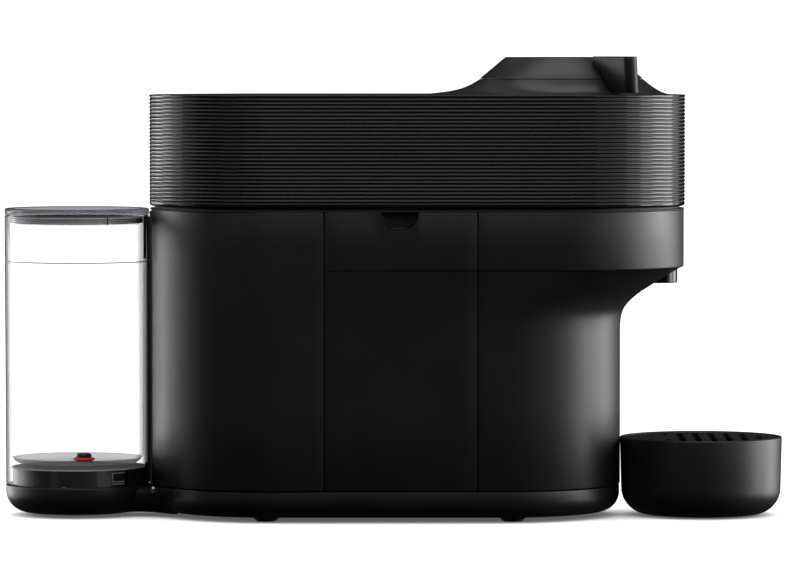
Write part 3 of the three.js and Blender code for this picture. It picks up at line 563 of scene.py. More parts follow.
# ------------------------------------------------------------------ turret cap and lever
cone = lathe("lever_cone", [(0, 241.5)] + rounded([(0, 241.5), (38.5, 241.5, 0.3), (38.5, 222, 0.3), (41.5, 222, 0.3), (41.5, 240.95, 0.1), (43.8, 240.95, 0.1), (43.8, 240.14, 0.1), (44.95, 240.14, 0.15), (30.7, 252.0, 0.45), (18.0, 252.0, 0.35), (18.0, 244.0, 0.2), (0, 244.0)], closed=False)[1:],
             TX, 0, [SATIN_TOP], seg=128)
side = [(30, 243), (30, 252.4), (70.5, 252.5), (69.4, 232.7), (61.5, 232.6), (59.0, 232.9), (56.4, 233.7), (53.6, 235.1), (51.0, 236.9), (48.4, 239.0), (46.2, 241.0), (44.6, 242.4), (40, 243.0)]
side = rounded(side, r=0.01, n=1)
def lever_mesh():
    """slab with a round nose: each cross level follows the side outline, the nose radius is half the width"""
    half, nose = 4.2, 4.2
    pts = [(30, 244.0), (30, 252.4)]
    top_z = 252.45
    # bottom curve z(r)
    curve = [(43.0, 242.9), (44.5, 241.2), (46.5, 238.9), (49.0, 236.6), (51.5, 234.9), (54.0, 233.7), (56.5, 233.05), (59.0, 232.75), (70.5, 232.6)]
    def bottom(r):
        if r <= curve[0][0]: return 242.0
        for (r0, z0), (r1, z1) in zip(curve, curve[1:]):
            if r <= r1: return z0 + (z1 - z0) * (r - r0) / (r1 - r0)
        return curve[-1][1]
    # stations along r with the plan half-width
    stations = []
    r = 35.4
    while r < 65.4:
        stations.append((r, half)); r += 1.2
    for i in range(0, 11):
        a = (pi / 2) * i / 10
        stations.append((65.45 + nose * sin(a), max(0.02, nose * cos(a))))
    verts, faces, rows = [], [], []
    for r, w in stations:
        zb = bottom(r)
        h = top_z - zb
        b = min(0.7, w * 0.9)
        sec = []
        draft = 1.9 * max(0.0, (r - 50) / 19.6)
        def X(z):
            return r - draft * (z - 232.6) / 19.8
        for (y, z) in ((-w, zb + b), (-w + b * 0.3, zb + b * 0.3), (-w + b, zb), (w - b, zb), (w - b * 0.3, zb + b * 0.3), (w, zb + b),
                       (w, top_z - b), (w - b * 0.3, top_z - b * 0.3), (w - b, top_z), (-w + b, top_z), (-w + b * 0.3, top_z - b * 0.3), (-w, top_z - b)):
            sec.append((X(z), y, z))
        rows.append([len(verts) + i for i in range(12)])
        verts += sec
    for A, B in zip(rows, rows[1:]):
        for i in range(12):
            j = (i + 1) % 12
            faces.append([A[i], A[j], B[j], B[i]])
    faces.append(rows[0][::-1]); faces.append(rows[-1])
    az = radians(-56.6)
    out = [(TX + x * cos(az) - y * sin(az), x * sin(az) + y * cos(az), z) for x, y, z in verts]
    # painted shade: the blade gets a darker, less shiny copy of the cap's satin black, keeping its flat face dark
    return make("lever_blade", out, faces, [plastic("lever_black_shaded", (0.0065, 0.0065, 0.0066), 0.42, ior=1.30)], sharp=50)
blade = lever_mesh()
piece(cone, "lever", "satin_black", "lever_cap")
piece(blade, "lever", "satin_black", "lever_cap")
piece(lathe("brew_button_top", [(0, 250)] + rounded([(0, 250), (8.4, 250, 0.2), (8.4, 246.6, 0.2), (14.7, 246.6, 0.2), (14.7, 252.0, 0.7), (9.0, 251.6, 3), (0, 251.5)], closed=False)[1:], TX, 0, [SATIN_TOP], seg=96), "button", "satin_black", "brew_button")
piece(lathe("button_ring", rounded([(15.2, 244.3), (17.6, 244.3), (17.6, 251.5, 0.4), (15.2, 251.5, 0.4)]), TX, 0, [LIGHT], seg=96), "lever", "light_white", "button_light_ring")
piece(lathe("lock_ring_turned", rounded([(46, 175.4), (49, 175.4), (49, 221.7), (38.5, 221.7), (38.5, 218.7), (46, 218.7)], r=0.5), TX, 0, [ALU], seg=96), "lever", "aluminium", "lock_ring")

# ------------------------------------------------------------------ body shell as panels with real seams
COVE = [(LOW_X1, BODY_Z0), (LOW_X1, 60.0), (LOW_X1, 96.0), (LOW_X1, 101.0), (LOW_X1 + 0.02, 104.5), (125.3, 108.2), (125.9, 111.1), (126.6, 113.0), (127.5, 114.7), (129.2, 116.95), (130.8, 118.65),
        (132.5, 120.15), (134.1, 121.5), (135.8, 122.75), (137.4, 123.85), (139.1, 124.9), (142.4, 126.95), (146.0, 129.2), (151.5, 132.55), (157.7, 136.35)]
SIDE_IN = 64.75
def flare(z):
    """half depth of the lower wall at its front end: it swells out again toward the band"""
    return SIDE_IN + 2.0 * max(0.0, (z - 94.0) / 42.35) ** 2.3
def level_params(front_lip=True):
    """list of (z, x0, x1, rear radius, front radius)"""
    out = []
    for x, z in COVE:
        if front_lip:
            out.append((z, BODY_X0, x, BAND_R - 0.02, flare(z)))
        else:
            k = max(0.0, (z - 94.0) / 42.35) ** 2.3
            out.append((z, BODY_X0, x, BAND_R, SIDE_IN + (BAND_R - SIDE_IN) * k))
    if front_lip:
        out.append((BAND_Z0 - 0.05, BODY_X0, BAND_X1 - 1.6, BAND_R - 0.02, BAND_R - 0.62))
    for i in range(5):
        a = (pi / 2) * i / 4
        d = 1.3 * (1 - sin(a))
        out.append((BAND_Z0 + 1.3 * (1 - cos(a)), BODY_X0, BAND_X1 - d, BAND_R, BAND_R - d * (0.42 if front_lip else 0.0)))
    out.append((150.0, BODY_X0, BAND_X1, BAND_R, BAND_R))
    out.append((BODY_Z1, BODY_X0, BAND_X1, BAND_R, BAND_R))
    return out
LEVELS = level_params()
REAR_LEVELS = level_params(False)

def shell_patch(name, stations, mats, top_z=None, bevel=0.45, wall=2.0, levels=None):
    """stations: list of functions level -> (x, y, nx, ny); builds an outer and an inner skin and closes the rim"""
    verts, faces = [], []
    levels = levels or LEVELS
    nL, nS = len(levels), len(stations)
    def idx(side, l, s): return side * nL * nS + l * nS + s
    for sidek in (0, 1):
        for li, lv in enumerate(levels):
            for si, st in enumerate(stations):
                x, y, nx, ny, ztop = st(lv)
                z = lv[0]
                if ztop is not None:
                    z = BODY_Z0 + (z - BODY_Z0) * (ztop - BODY_Z0) / (BODY_Z1 - BODY_Z0) if ztop < BODY_Z1 - 1e-6 and False else min(z, ztop)
                if sidek:
                    x, y = x - nx * wall, y - ny * wall
                verts.append((x, y, z))
    for l in range(nL - 1):
        for s in range(nS - 1):
            faces.append([idx(0, l, s), idx(0, l, s + 1), idx(0, l + 1, s + 1), idx(0, l + 1, s)])
            faces.append([idx(1, l, s), idx(1, l + 1, s), idx(1, l + 1, s + 1), idx(1, l, s + 1)])
    for s in range(nS - 1):
        faces.append([idx(0, 0, s), idx(1, 0, s), idx(1, 0, s + 1), idx(0, 0, s + 1)])
        faces.append([idx(0, nL - 1, s), idx(0, nL - 1, s + 1), idx(1, nL - 1, s + 1), idx(1, nL - 1, s)])
    for l in range(nL - 1):
        faces.append([idx(0, l, 0), idx(0, l + 1, 0), idx(1, l + 1, 0), idx(1, l, 0)])
        faces.append([idx(0, l, nS - 1), idx(1, l, nS - 1), idx(1, l + 1, nS - 1), idx(0, l + 1, nS - 1)])
    return make(name, verts, faces, mats, bevel=bevel, bevel_angle=62, sharp=38, weld=1e-6)

def side_y(lv, x):
    z, x0, x1, rr, rf = lv
    cr, cf = x0 + rr, x1 - rf
    t = (x - cr) / (cf - cr)
    return rr + (rf - rr) * t
def st_side(x, sgn, ztop=None):
    return lambda lv: (x, sgn * side_y(lv, x), 0.0, sgn * 1.0, ztop)
def st_side_frac(x_start, t, sgn):
    def f(lv):
        z, x0, x1, rr, rf = lv
        cf = x1 - rf
        x = x_start + (cf - x_start) * t
        return (x, sgn * side_y(lv, x), 0.0, sgn * 1.0, None)
    return f
def st_rear_frac(x_start, t, sgn):
    def f(lv):
        z, x0, x1, rr, rf = lv
        cr = x0 + rr
        x = x_start + (cr - x_start) * t
        return (x, sgn * side_y(lv, x), 0.0, sgn * 1.0, None)
    return f
def st_front(a):
    def f(lv):
        z, x0, x1, rr, rf = lv
        return (x1 - rf + rf * cos(a), rf * sin(a), cos(a), sin(a), None)
    return f
def st_rear(a):
    def f(lv):
        z, x0, x1, rr, rf = lv
        return (x0 + rr + rr * cos(a), rr * sin(a), cos(a), sin(a), None)
    return f
xs = BIN_X1 + SEAM / 2
front = [st_side_frac(xs, t / 6, -1) for t in range(6)] + [st_front(-pi / 2 + pi * i / 64) for i in range(65)] + [st_side_frac(xs, 1 - t / 6, 1) for t in range(1, 7)]
fh = shell_patch("front_body_shell", front, [SATIN])
xr = BIN_X0 - SEAM / 2
rear = [st_rear_frac(xr, t / 4, 1) for t in range(4)] + [st_rear(pi / 2 + pi * i / 56) for i in range(57)] + [st_rear_frac(xr, 1 - t / 4, -1) for t in range(1, 5)]
rh = shell_patch("rear_body_shell", rear, [SATIN], levels=REAR_LEVELS)
xa, xb = BIN_X0 + SEAM / 2, BIN_X1 - SEAM / 2
far = shell_patch("far_side_panel", [st_side(xa + (xb - xa) * i / 8, 1) for i in range(9)], [SATIN])
binp = shell_patch("bin_side_panel", [st_side(xa + (xb - xa) * i / 8, -1) for i in range(9)], [SATIN], bevel=0.4)

def cyl_y(name, r, x, z, y0, y1, mats, n=64):
    verts = [(x + r * cos(2 * pi * i / n), y0, z + r * sin(2 * pi * i / n)) for i in range(n)] + [(x + r * cos(2 * pi * i / n), y1, z + r * sin(2 * pi * i / n)) for i in range(n)]
    faces = [list(range(n)), [n + i for i in range(n)][::-1]] + [[i, (i + 1) % n, n + (i + 1) % n, n + i] for i in range(n)]
    return make(name, verts, faces, mats)
boolean(binp, cyl_y("c", SCOOP_R, SCOOP_X, BODY_Z1 + 0.2, -80, -60, [SATIN]))
# nozzle hole in the underside of the overhang
boolean(fh, lathe("c", [(0, 120), (NOZZLE_R + 0.35, 120), (NOZZLE_R + 0.35, 155), (0, 155)], NOZZLE_X, 0, [SATIN], seg=64))
piece(fh, "root", "satin_black", "front_housing")
piece(rh, "root", "satin_black", "rear_housing")
piece(far, "root", "satin_black", "far_panel")
piece(binp, "bin", "satin_black", "bin_panel")
# scoop: half-round cup behind the panel with a bright rolled lip
def scoop():
    verts, faces, rows = [], [], []
    n = 40
    prof = rounded([(10.35, -67.55, 0.15), (11.9, -66.9, 0.2), (12.0, -56.7, 0.3), (0.0, -56.7, 0), (0.0, -58.5, 0), (10.2, -58.5, 1.2), (10.2, -66.9, 0.1)], r=0.2, n=3)
    for k, (r, y) in enumerate(prof):
        rows.append([len(verts) + i for i in range(n + 1)])
        for i in range(n + 1):
            a = pi + pi * i / n
            verts.append((SCOOP_X + r * cos(a), y, 166.9 + r * sin(a) * (1.0) if False else BODY_Z1 + 0.0 + r * sin(a) - (0.0)))
    P = len(prof)
    for k in range(P):
        b = (k + 1) % P
        for i in range(n):
            faces.append([rows[k][i], rows[k][i + 1], rows[b][i + 1], rows[b][i]])
    faces.append([rows[k][0] for k in range(P)]); faces.append([rows[k][n] for k in range(P)][::-1])
    return make("bin_finger_scoop", verts, faces, [SATIN_TOP], sharp=40)
piece(scoop(), "bin", "satin_black", "bin_panel")

def lip_outline(sgn, foot, tongue):
    (fx0, fx1, fy0, fy1), (tx0, tx1, ty0, ty1) = foot, tongue
    if tx0 < fx0:      # tongue reaches toward -x
        pts = [(fx1, ty0), (fx1, fy1), (fx0, fy1), (fx0, ty1), (tx0, ty1), (tx0, ty0)]
    else:
        pts = [(fx0, ty0), (tx1, ty0), (tx1, ty1), (fx1, ty1), (fx1, fy1), (fx0, fy1)]
    return [(x, sgn * y) for x, y in pts]
for nm, foot, tongue, top_y, node_name in (("rear_seam_lips", (-41.5, -37.7, 62.0, 65.2), (-41.5, -34.9, 61.0, 63.4), 65.4, "rear_housing"),
                                          ("front_seam_lips", (46.2, 49.5, 61.0, 64.0), (43.4, 49.5, 60.2, 62.4), 65.3, "front_housing")):
    outs = []
    for sgn in (-1, 1):
        outs.append((lip_outline(sgn, foot, tongue), 19.0, 160.2))
        outs.append((lip_outline(sgn, foot[:3] + (top_y,), tongue), 163.8, 167.1))
    piece(prism_xy(nm, outs, [INNER], bevel=0.25), "root", "satin_black", node_name)
RAIL_X = -133.8
STRIP_GREY = plastic("strip_grey", (0.085, 0.085, 0.086), 0.55, bump=0.0)
piece(arc_strip("tank_rear_strip", TANK_X, 0, 39.1, 39.95, -8, 8, 18.0, 164.0, [STRIP_GREY]), "tank", "tank_clear", "tank_shell")
piece(prism_xy("tank_guide_rail", [(rounded([(RAIL_X, -5, 0.4), (-132.3, -5, 0.1), (-132.3, 5, 0.1), (RAIL_X, 5, 0.4)], n=4), 16.8, 167.4)], [STRIP_GREY], bevel=0.3), "root", "satin_black", "rear_housing")

# ------------------------------------------------------------------ base pan, feet
bp = [(11.5, 5.9), (3.0, 13.7), (3.0, BASE_Z1 - 0.3), (2.7, BASE_Z1), (0.5, BASE_Z1), (0.12, BASE_Z1 - 0.12), (0.0, BASE_Z1 - 0.5)]
for i in range(0, 15):
    a = (pi / 2) * (1 - i / 14)
    bp.append((BASE_FILLET * (1 - sin(a)), BASE_Z0 + BASE_FILLET * (1 - cos(a))))
bp += [(30, BASE_Z0), (60.0, BASE_Z0), (60.0, 5.9)]
def base_ring():
    x0, x1 = BODY_X0 + 0.6, LOW_X1 - 0.4
    prof = bp[:-2]
    verts, faces = [], []
    n = None
    for d, z in prof:
        rg = ring(x0 + d, x1 - d, BASE_R - d, BASE_R - d, 56, 12)
        n = len(rg)
        verts += [(x, y, z) for x, y in rg]
    P = len(prof)
    for a in range(P - 1):
        for i in range(n):
            j = (i + 1) % n
            faces.append([a * n + i, a * n + j, (a + 1) * n + j, (a + 1) * n + i])
    faces.append([i for i in range(n)]); faces.append([(P - 1) * n + i for i in range(n)][::-1])
    return make("base_pan_shell", verts, faces, [SATIN], sharp=38)
base = base_ring()
for x, y in ((-100, -26), (-100, 26), (92, -26), (92, 26)):
    boolean(base, lathe("c", [(0, 0), (4.0, 0), (4.0, 4.4), (2.1, 4.6), (2.1, 9), (0, 9)], x, y, [INNER], seg=32))
    screw = lathe("screw_%d_%d" % (x + 200, y + 50), [(0, 3.4), (1.1, 3.4), (1.2, 2.9)] + rounded([(1.2, 2.9), (3.4, 2.9, 0.5), (3.4, 4.1, 0.1), (1.7, 4.1, 0.1), (1.7, 9.5, 0.3), (0, 9.5)], closed=False)[1:], x, y, [STEEL], seg=32)
    piece(screw, "root", "steel", "base_screw_%d" % ({(-100, -26): 1, (-100, 26): 2, (92, -26): 3, (92, 26): 4}[(x, y)]))
piece(base, "root", "satin_black", "base_pan")
for nm, x in (("rear", -69), ("front", 65)):
    for sd, y in (("near", -46), ("far", 46)):
        piece(lathe("foot_pad_%s_%s" % (nm, sd), [(0, 0.0)] + rounded([(0, 0), (5.4, 0, 0.5), (5.4, 2.4, 0.2), (0, 2.4)], closed=False)[1:], x, y * 45.0 / 46.0, [RUBBER], seg=48), "root", "rubber_black", "%s_foot_%s" % (nm, sd))
        piece(lathe("foot_boss_%s_%s" % (nm, sd), rounded([(5.45, 0.3, 0.3), (6.1, 0.4, 0.4), (6.3, 1.3, 0.8), (7.6, 2.35, 1.2), (11.0, 2.95, 0.6), (5.45, 3.2)], n=5), x, y * 45.0 / 46.0, [SATIN], seg=56), "root", "satin_black", "base_pan")

# ------------------------------------------------------------------ nozzle, brewing parts
piece(lathe("coffee_spout", rounded([(3.5, 128.9, 0.6), (4.6, 128.0, 0.3), (NOZZLE_R, 128.0, 0.7), (NOZZLE_R, 141.0, 0.3), (3.5, 141.0, 0.3)]), NOZZLE_X, 0, [GLOSS], seg=96), "root", "gloss_black", "coffee_nozzle")
piece(lathe("brewing_cup", rounded([(9.3, 117.5), (12, 117.5), (12, 125.5), (36, 125.5, 3), (36, 163.9), (42, 163.9), (42, 166.9, 0.8), (33.5, 166.9, 0.8), (33.5, 128.5, 2), (9.3, 128.5)], r=0.4), TX, 0, [INNER], seg=96), "root", "inner_black", "brew_chamber")
piece(lathe("pod_drum", [(0, 105.6)] + rounded([(0, 105.6), (4, 105.6, 0.4), (4, 129.5, 0.6), (22, 129.5, 2), (31, 136, 3), (31, 165.5, 0.9), (28.6, 165.5, 0.9), (28.6, 137.5, 3), (21, 132.2, 2), (0, 132.2)], closed=False)[1:], TX, 0, [INNER], seg=96), "drum", "inner_black", "capsule_drum")
piece(lathe("chamber_ring_seal", rounded([(37.6, 171.9), (37.6, 168.4, 0.8), (39.0, 167.3, 0.5), (40.2, 167.3, 0.5), (41.4, 168.6, 0.8), (41.4, 171.9)], r=0.2), TX, 0, [RUBBER], seg=96), "head", "rubber_black", "chamber_seal")
piece(lathe("rotor_housing", rounded([(13.4, 177), (40.0, 177), (40.0, 174.7), (44.0, 174.7), (44.0, 179.5), (16, 179.5), (16, 186), (13.4, 186)], r=0.5), TX, 0, [INNER], seg=96), "head", "inner_black", "rotor_cover")

# ------------------------------------------------------------------ tank stand
tb = [(0, 23.6), (28.5, 23.6), (32.5, 21.5), (33, 14), (30, 8), (24, 2.2), (24.3, 1.8)]
tb += [(39.3 - 12.2 * (1 - sin(pi / 2 * i / 14)), 1.8 + 12.2 * (1 - cos(pi / 2 * i / 14))) for i in range(0, 15)]
tb += rounded([(39.3, 16.0), (39.3, 17.15, 0.5), (35.7, 17.1, 0.1), (35.7, 26.6, 0.9), (10, 26.6), (0, 26.6)], closed=False)[1:]
tbase = lathe("tank_stand", tb, TANK_X, 0, [SATIN], seg=112)
def bridge():
    """neck between the two rounds, waisted in plan, its underside rolled up at both sides"""
    verts, faces, rows = [], [], []
    n = 30
    for k in range(n + 1):
        t = k / n
        x = -158.0 + 40.0 * t
        u = (x + 139.5) / 11.0
        half = min(21.0 + 3.2 * u * u, 30.0)
        zlo = 2.0 + 0.55 * max(0.0, 1 - u * u * 0.4)
        sec = rounded([(-half, zlo, 9.4), (half, zlo, 9.4), (half, 16.4, 4.0), (-half, 16.4, 4.0)], n=9)
        rows.append([len(verts) + i for i in range(len(sec))])
        verts += [(x, y, z) for y, z in sec]
    m = len(rows[0])
    for A, B in zip(rows, rows[1:]):
        for i in range(m):
            faces.append([A[i], A[(i + 1) % m], B[(i + 1) % m], B[i]])
    faces.append(rows[0][::-1]); faces.append(rows[-1])
    # painted shade: the neck gets a darker, less shiny copy of the stand's satin black so it stays as black as the
    # shaded gap between tank and base
    ob = make("stand_bridge", verts, faces, [plastic("bridge_black_shaded", (0.005, 0.005, 0.005), 0.6, ior=1.25)], sharp=40)
    return ob
br = bridge()
boolean(tbase, lathe("c", [(0, 12), (8, 12), (8, 30), (0, 30)], VALVE_X, 0, [INNER], seg=48))
piece(tbase, "root", "satin_black", "tank_base")
piece(br, "root", "satin_black", "tank_base")
piece(lathe("stand_pin", [(0, 13.2)] + rounded([(0, 13.2), (1.5, 13.2, 0.6), (1.5, 16.6, 1.2), (0, 17.6)], closed=False)[1:], -131.2, -22.9, [STEEL], seg=32), "root", "satin_black", "tank_base")
piece(lathe("stand_cover", [(0, 2.0)] + rounded([(0, 2.0), (23.4, 2.0, 0.4), (23.4, 4.5, 0.2), (0, 4.5)], closed=False)[1:], TANK_X, 0, [INNER], seg=96), "root", "inner_black", "tank_base_plate")

def stand_window():
    outs = []
    def bar(a0, a1, z0, z1):
        pts = [(TANK_X + 36.35 * cos(radians(a0 + (a1 - a0) * i / 6)), 36.35 * sin(radians(a0 + (a1 - a0) * i / 6))) for i in range(7)]
        pts += [(TANK_X + 35.55 * cos(radians(a1 + (a0 - a1) * i / 6)), 35.55 * sin(radians(a1 + (a0 - a1) * i / 6))) for i in range(7)]
        outs.append((pts, z0, z1))
    bar(-55.5, -42.0, 24.6, 25.1); bar(-55.5, -42.0, 19.9, 20.4); bar(-55.5, -42.0, 18.6, 19.1)
    bar(-55.5, -54.6, 20.4, 24.6)
    return prism_xy("stand_window_frame", outs, [WINDOW], bevel=0.08)
piece(stand_window(), "root", "satin_black", "tank_base")

# ------------------------------------------------------------------ tank
tw = rounded([(0, 26.9), (36.6, 26.9, 0.6), (36.9, 17.4, 0.5), (39.2, 17.4, 0.5), (39.7, 165.0, 0.5), (37.2, 165.0, 0.5), (36.7, 33.0, 3.5), (33.2, 28.9, 3.5), (7.5, 28.9, 0.1), (7.2, 29.2, 0.1), (0, 29.2)], closed=False)
def tank_face(k):
    (r0, z0), (r1, z1) = tw[k], tw[(k + 1) % len(tw)]
    if max(z0, z1) < 30.3 and max(r0, r1) < 36.95 and min(z0, z1) > 26.0: return 1
    return 2 if max(r0, r1) < 37.35 else 0
tank = lathe("tank_body", tw, TANK_X, 0, [CLEAR, FROST, CLEAR_IN], seg=144, sharp=35, face_index=tank_face)
unit = 1.0 if max(abs(c) for v in tank.data.vertices for c in v.co) > 5 else 1000.0
for f in tank.data.polygons:
    cx, cy, cz = (v * unit for v in f.center)
    if 26.9 < cz < 31.4 and math.hypot(cx - TANK_X, cy) < 36.95:
        f.material_index = 1
boolean(tank, lathe("c", [(0, 20), (3.0, 20), (3.0, 40), (0, 40)], VALVE_X, 0, [CLEAR], seg=32))
piece(tank, "tank", "tank_clear", "tank_shell")
lp_ = rounded([(0, 166.6), (30.4, 166.6, 0.5), (31.4, 160.0, 0.5), (34.6, 160.0, 0.5), (34.6, 165.3, 0.1), (39.3, 165.3, 0.3), (39.7, 166.0, 0.3), (39.7, 168.4, 0.5), (38.9, 169.0, 0.5), (36.4, 168.95, 0.3), (35.9, 168.5, 0.3), (0, 168.6)], closed=False)
def lid_face(k):
    (r0, z0), (r1, z1) = lp_[k], lp_[(k + 1) % len(lp_)]
    return 1 if min(r0, r1) > 35.2 else 0
piece(lathe("tank_cover", lp_, TANK_X, 0, [SMOKE, LID_RIM], seg=144, face_index=lid_face), "lid", "lid_smoke", "tank_lid")
seal = [(34.9, 160.8)]
for k in range(3):
    z = 161.0 + 1.15 * k
    seal += [(36.0, z), (36.8, z + 0.2), (36.9, z + 0.42), (36.75, z + 0.6), (36.0, z + 0.75)]
seal += [(36.0, 164.3), (34.9, 164.4)]
# painted shade: the lip tips get a darker copy of the seal's grey, drawing the ring lines that the lips' shading makes
def seal_face(k):
    return 1 if k > 0 and k < len(seal) - 2 and min(seal[k][0], seal[(k + 1) % len(seal)][0]) > 36.2 else 0
SEAL = plastic("seal_grey", (0.78, 0.785, 0.79), 0.5, bump=0.0)
SEAL_RIDGE_SHADE = plastic("seal_grey_ridge_painted_shade", (0.42, 0.423, 0.426), 0.5, bump=0.0)
piece(lathe("lid_ring_seal", seal, TANK_X, 0, [SEAL, SEAL_RIDGE_SHADE], seg=144, face_index=seal_face), "lid", "rubber_black", "lid_seal")
piece(arc_strip("lid_seal_joint", TANK_X, 0, 36.25, 36.95, -60.4, -59.4, 160.7, 164.9, [DARK_STRIP], seg=2, bevel=0.05), "lid", "rubber_black", "lid_seal")
# painted shade: no notch is cut, a dark strip laid on the lid's rim stands in for the shade inside the grip notch
piece(arc_strip("lid_grip_notch_painted_shade", TANK_X, 0, 39.45, 39.78, -161.0, -143.5, 167.0, 168.1, [DARK_STRIP], seg=16, bevel=0.06), "lid", "lid_smoke", "tank_lid")
piece(arc_strip("tank_fill_line", TANK_X, 0, 39.5, 39.86, -173.5, -6.5, 139.75, 140.25, [MARK], seg=90, bevel=0.1), "tank", "tank_clear", "tank_shell")
# partly a clip and partly painted shade: a black band inside the skirt on the machine side, darkening it where the
# stand in shade would show through
piece(arc_strip("tank_rear_clip_shade_band", TANK_X, 0, 38.9, 39.78, -41.6, 41.6, 17.7, 26.9, [DARK_STRIP], seg=30, bevel=0.2), "tank", "tank_clear", "tank_shell")
piece(arc_strip("tank_clip_hook", TANK_X, 0, 38.9, 39.82, -14.5, -10.0, 26.6, 29.6, [DARK_STRIP], seg=6, bevel=0.2), "tank", "tank_clear", "tank_shell")
for nm, sg in (("near", -1), ("far", 1)):
    piece(arc_strip("tank_guide_strip_" + nm, TANK_X, 0, 39.35, 39.88, sg * 15.2, sg * 19.2, 141.7, 164.7, [DARK_STRIP], seg=6, bevel=0.12), "tank", "tank_clear", "tank_shell")
piece(lathe("valve_cap", [(0, 20.6)] + rounded([(0, 20.6), (2.3, 20.6, 0.3), (2.3, 29.3, 0.1), (4.9, 29.3, 0.15), (4.9, 30.15, 0.15), (2.3, 30.15, 0.1), (2.3, 31.6, 0.2), (4.2, 31.7, 0.2), (4.2, 33.1, 0.5), (3.3, 33.8, 0.4), (0, 33.8)], closed=False)[1:], VALVE_X, 0, [DARK_STRIP], seg=48), "valve", "inner_black", "tank_valve")
piece(lathe("valve_washer", rounded([(2.7, 30.2), (6.0, 30.2, 0.25), (6.0, 30.9, 0.4), (4.6, 31.6, 0.2), (2.7, 31.6)], r=0.1), VALVE_X, 0, [RED], seg=64), "valve", "seal_red", "valve_seal")

# ------------------------------------------------------------------ drip tray and grid
TRAY_R, TRAY_X = TRAY_R + 0.42, TRAY_X + 0.22
tp = [(0, 0.6)]
tp += [(TRAY_R - 0.7 - 14.5 * (1 - sin(pi / 2 * i / 16)), 0.6 + 14.5 * (1 - cos(pi / 2 * i / 16))) for i in range(0, 17)]
tp += rounded([(TRAY_R - 0.7, 15.0), (TRAY_R, 43.3, 0.7), (41.8, 43.3, 0.6), (41.5, 39.7, 0.2), (39.8, 39.0, 0.4), (39.4, 20.0), (39.2, 17)], closed=False)[1:]
tp += [(39.2 - 12.5 * (1 - cos(pi / 2 * i / 8)), 3.1 + 12.5 * (1 - sin(pi / 2 * i / 8))) for i in range(1, 9)]
tp += [(0, 3.1)]
piece(lathe("drip_cup", tp, TRAY_X, 0, [SATIN], seg=128), "tray", "satin_black", "drip_tray")
grid = lathe("drip_plate", [(0, GRID_Z0)] + rounded([(0, GRID_Z0), (GRID_R, GRID_Z0, 0.3), (GRID_R, GRID_Z1, 0.6), (38.6, GRID_Z1, 0.2), (38.3, GRID_Z1 - 0.3, 0.15), (0, GRID_Z1 - 0.3)], closed=False)[1:], TRAY_X, 0, [SATIN], seg=128)
def slot(x, y0, y1, w=3.8):
    sec = rounded([(x - w / 2, y0, 0.9), (x + w / 2, y0, 0.9), (x + w / 2, y1, 0.9), (x - w / 2, y1, 0.9)], n=3)
    n = len(sec)
    verts = [(a, b, 30) for a, b in sec] + [(a, b, 50) for a, b in sec]
    faces = [list(range(n)), [n + i for i in range(n)][::-1]] + [[i, (i + 1) % n, n + (i + 1) % n, n + i] for i in range(n)]
    return make("c", verts, faces, [SATIN])
for i in range(8):
    x = 141.7 + 8.56 * i
    half = sqrt(max(0, 36.0 ** 2 - (abs(x - TRAY_X) + 1.9) ** 2))
    if i < 2:
        boolean(grid, slot(x, 17, half)); boolean(grid, slot(x, -half, -17))
    else:
        boolean(grid, slot(x, -half, half))
piece(grid, "grid", "satin_black", "drip_grid")

# ------------------------------------------------------------------ moulded versions of the plain inner parts
for node_name, new_name, body, slot, bevel, sharp in (
        ("bin_bucket", "bin_bucket_moulded", "bin", "inner_black", 0.7, 34), ("head_frame", "head_frame_moulded", "head", "inner_black", 0.4, 34),
        ("hinge_arm_near", "gooseneck_arm_near", "root", "steel", 0.6, 34), ("hinge_arm_far", "gooseneck_arm_far", "root", "steel", 0.6, 34),
        ("hinge_pin", "hinge_pin_turned", "root", "steel", 0.4, 30), ("pierce_rotor", "pierce_rotor_turned", "piercer", "steel", 0.15, 30),
        ("outlet_duct", "outlet_duct_moulded", "root", "inner_black", 0.8, 34), ("top_deck", "top_deck_moulded", "root", "inner_black", 0.35, 34),
        ("cord_gland", "cord_gland_moulded", "root", "rubber_black", 0.35, 34), ("spin_motor", "spin_motor_can", "root", "steel", 0.8, 34),
        ("pump", "pump_moulded", "root", "inner_black", 1.5, 34), ("heater", "heater_cast", "root", "aluminium", 1.2, 34),
        ("flow_meter", "flow_meter_moulded", "root", "inner_black", 0.6, 34), ("control_board", "control_board_cut", "root", "board_green", 0.12, 34),
        ("drum_bearing", "drum_bearing_turned", "root", "steel", 0.4, 34), ("rotor_bearing", "rotor_bearing_turned", "head", "steel", 0.4, 34),
        ("water_injector", "water_injector_moulded", "head", "inner_black", 0.3, 34), ("brew_switch", "brew_switch_moulded", "lever", "inner_black", 0.4, 34),
        ("tank_nipple", "tank_nipple_moulded", "root", "inner_black", 0.2, 34)):
    piece(refine(node_name, new_name, [SLOT_MAT[slot]], bevel=bevel, sharp=sharp), body, slot, node_name)
piece(coil("button_spring_coil", TX, 0, 6.7, 0.42, 244.3, 247.9, 3.5, [STEEL]), "lever", "steel", "button_spring")
piece(coil("valve_spring_coil", VALVE_X, 0, 4.0, 0.32, 22.6, 26.5, 4.5, [STEEL]), "tank", "steel", "valve_spring")
piece(tube_along("feed_hose_smooth", catmull([(VALVE_X, 0, 9.4), (-162, 0, 10.5), (-150, 0, 10.5), (-138, 0, 10.5), (-126, 0, 10.5), (-120.4, 0, 10.5)]), 3.0, [RUBBER]), "root", "rubber_black", "feed_hose")
piece(tube_along("pump_hose_smooth", catmull([(-72, -26, 46.4), (-72, -24, 58), (-76, -12, 76), (-80, -2, 84), (-80, 9.0, 84)]), 2.5, [RUBBER]), "root", "rubber_black", "pump_hose")

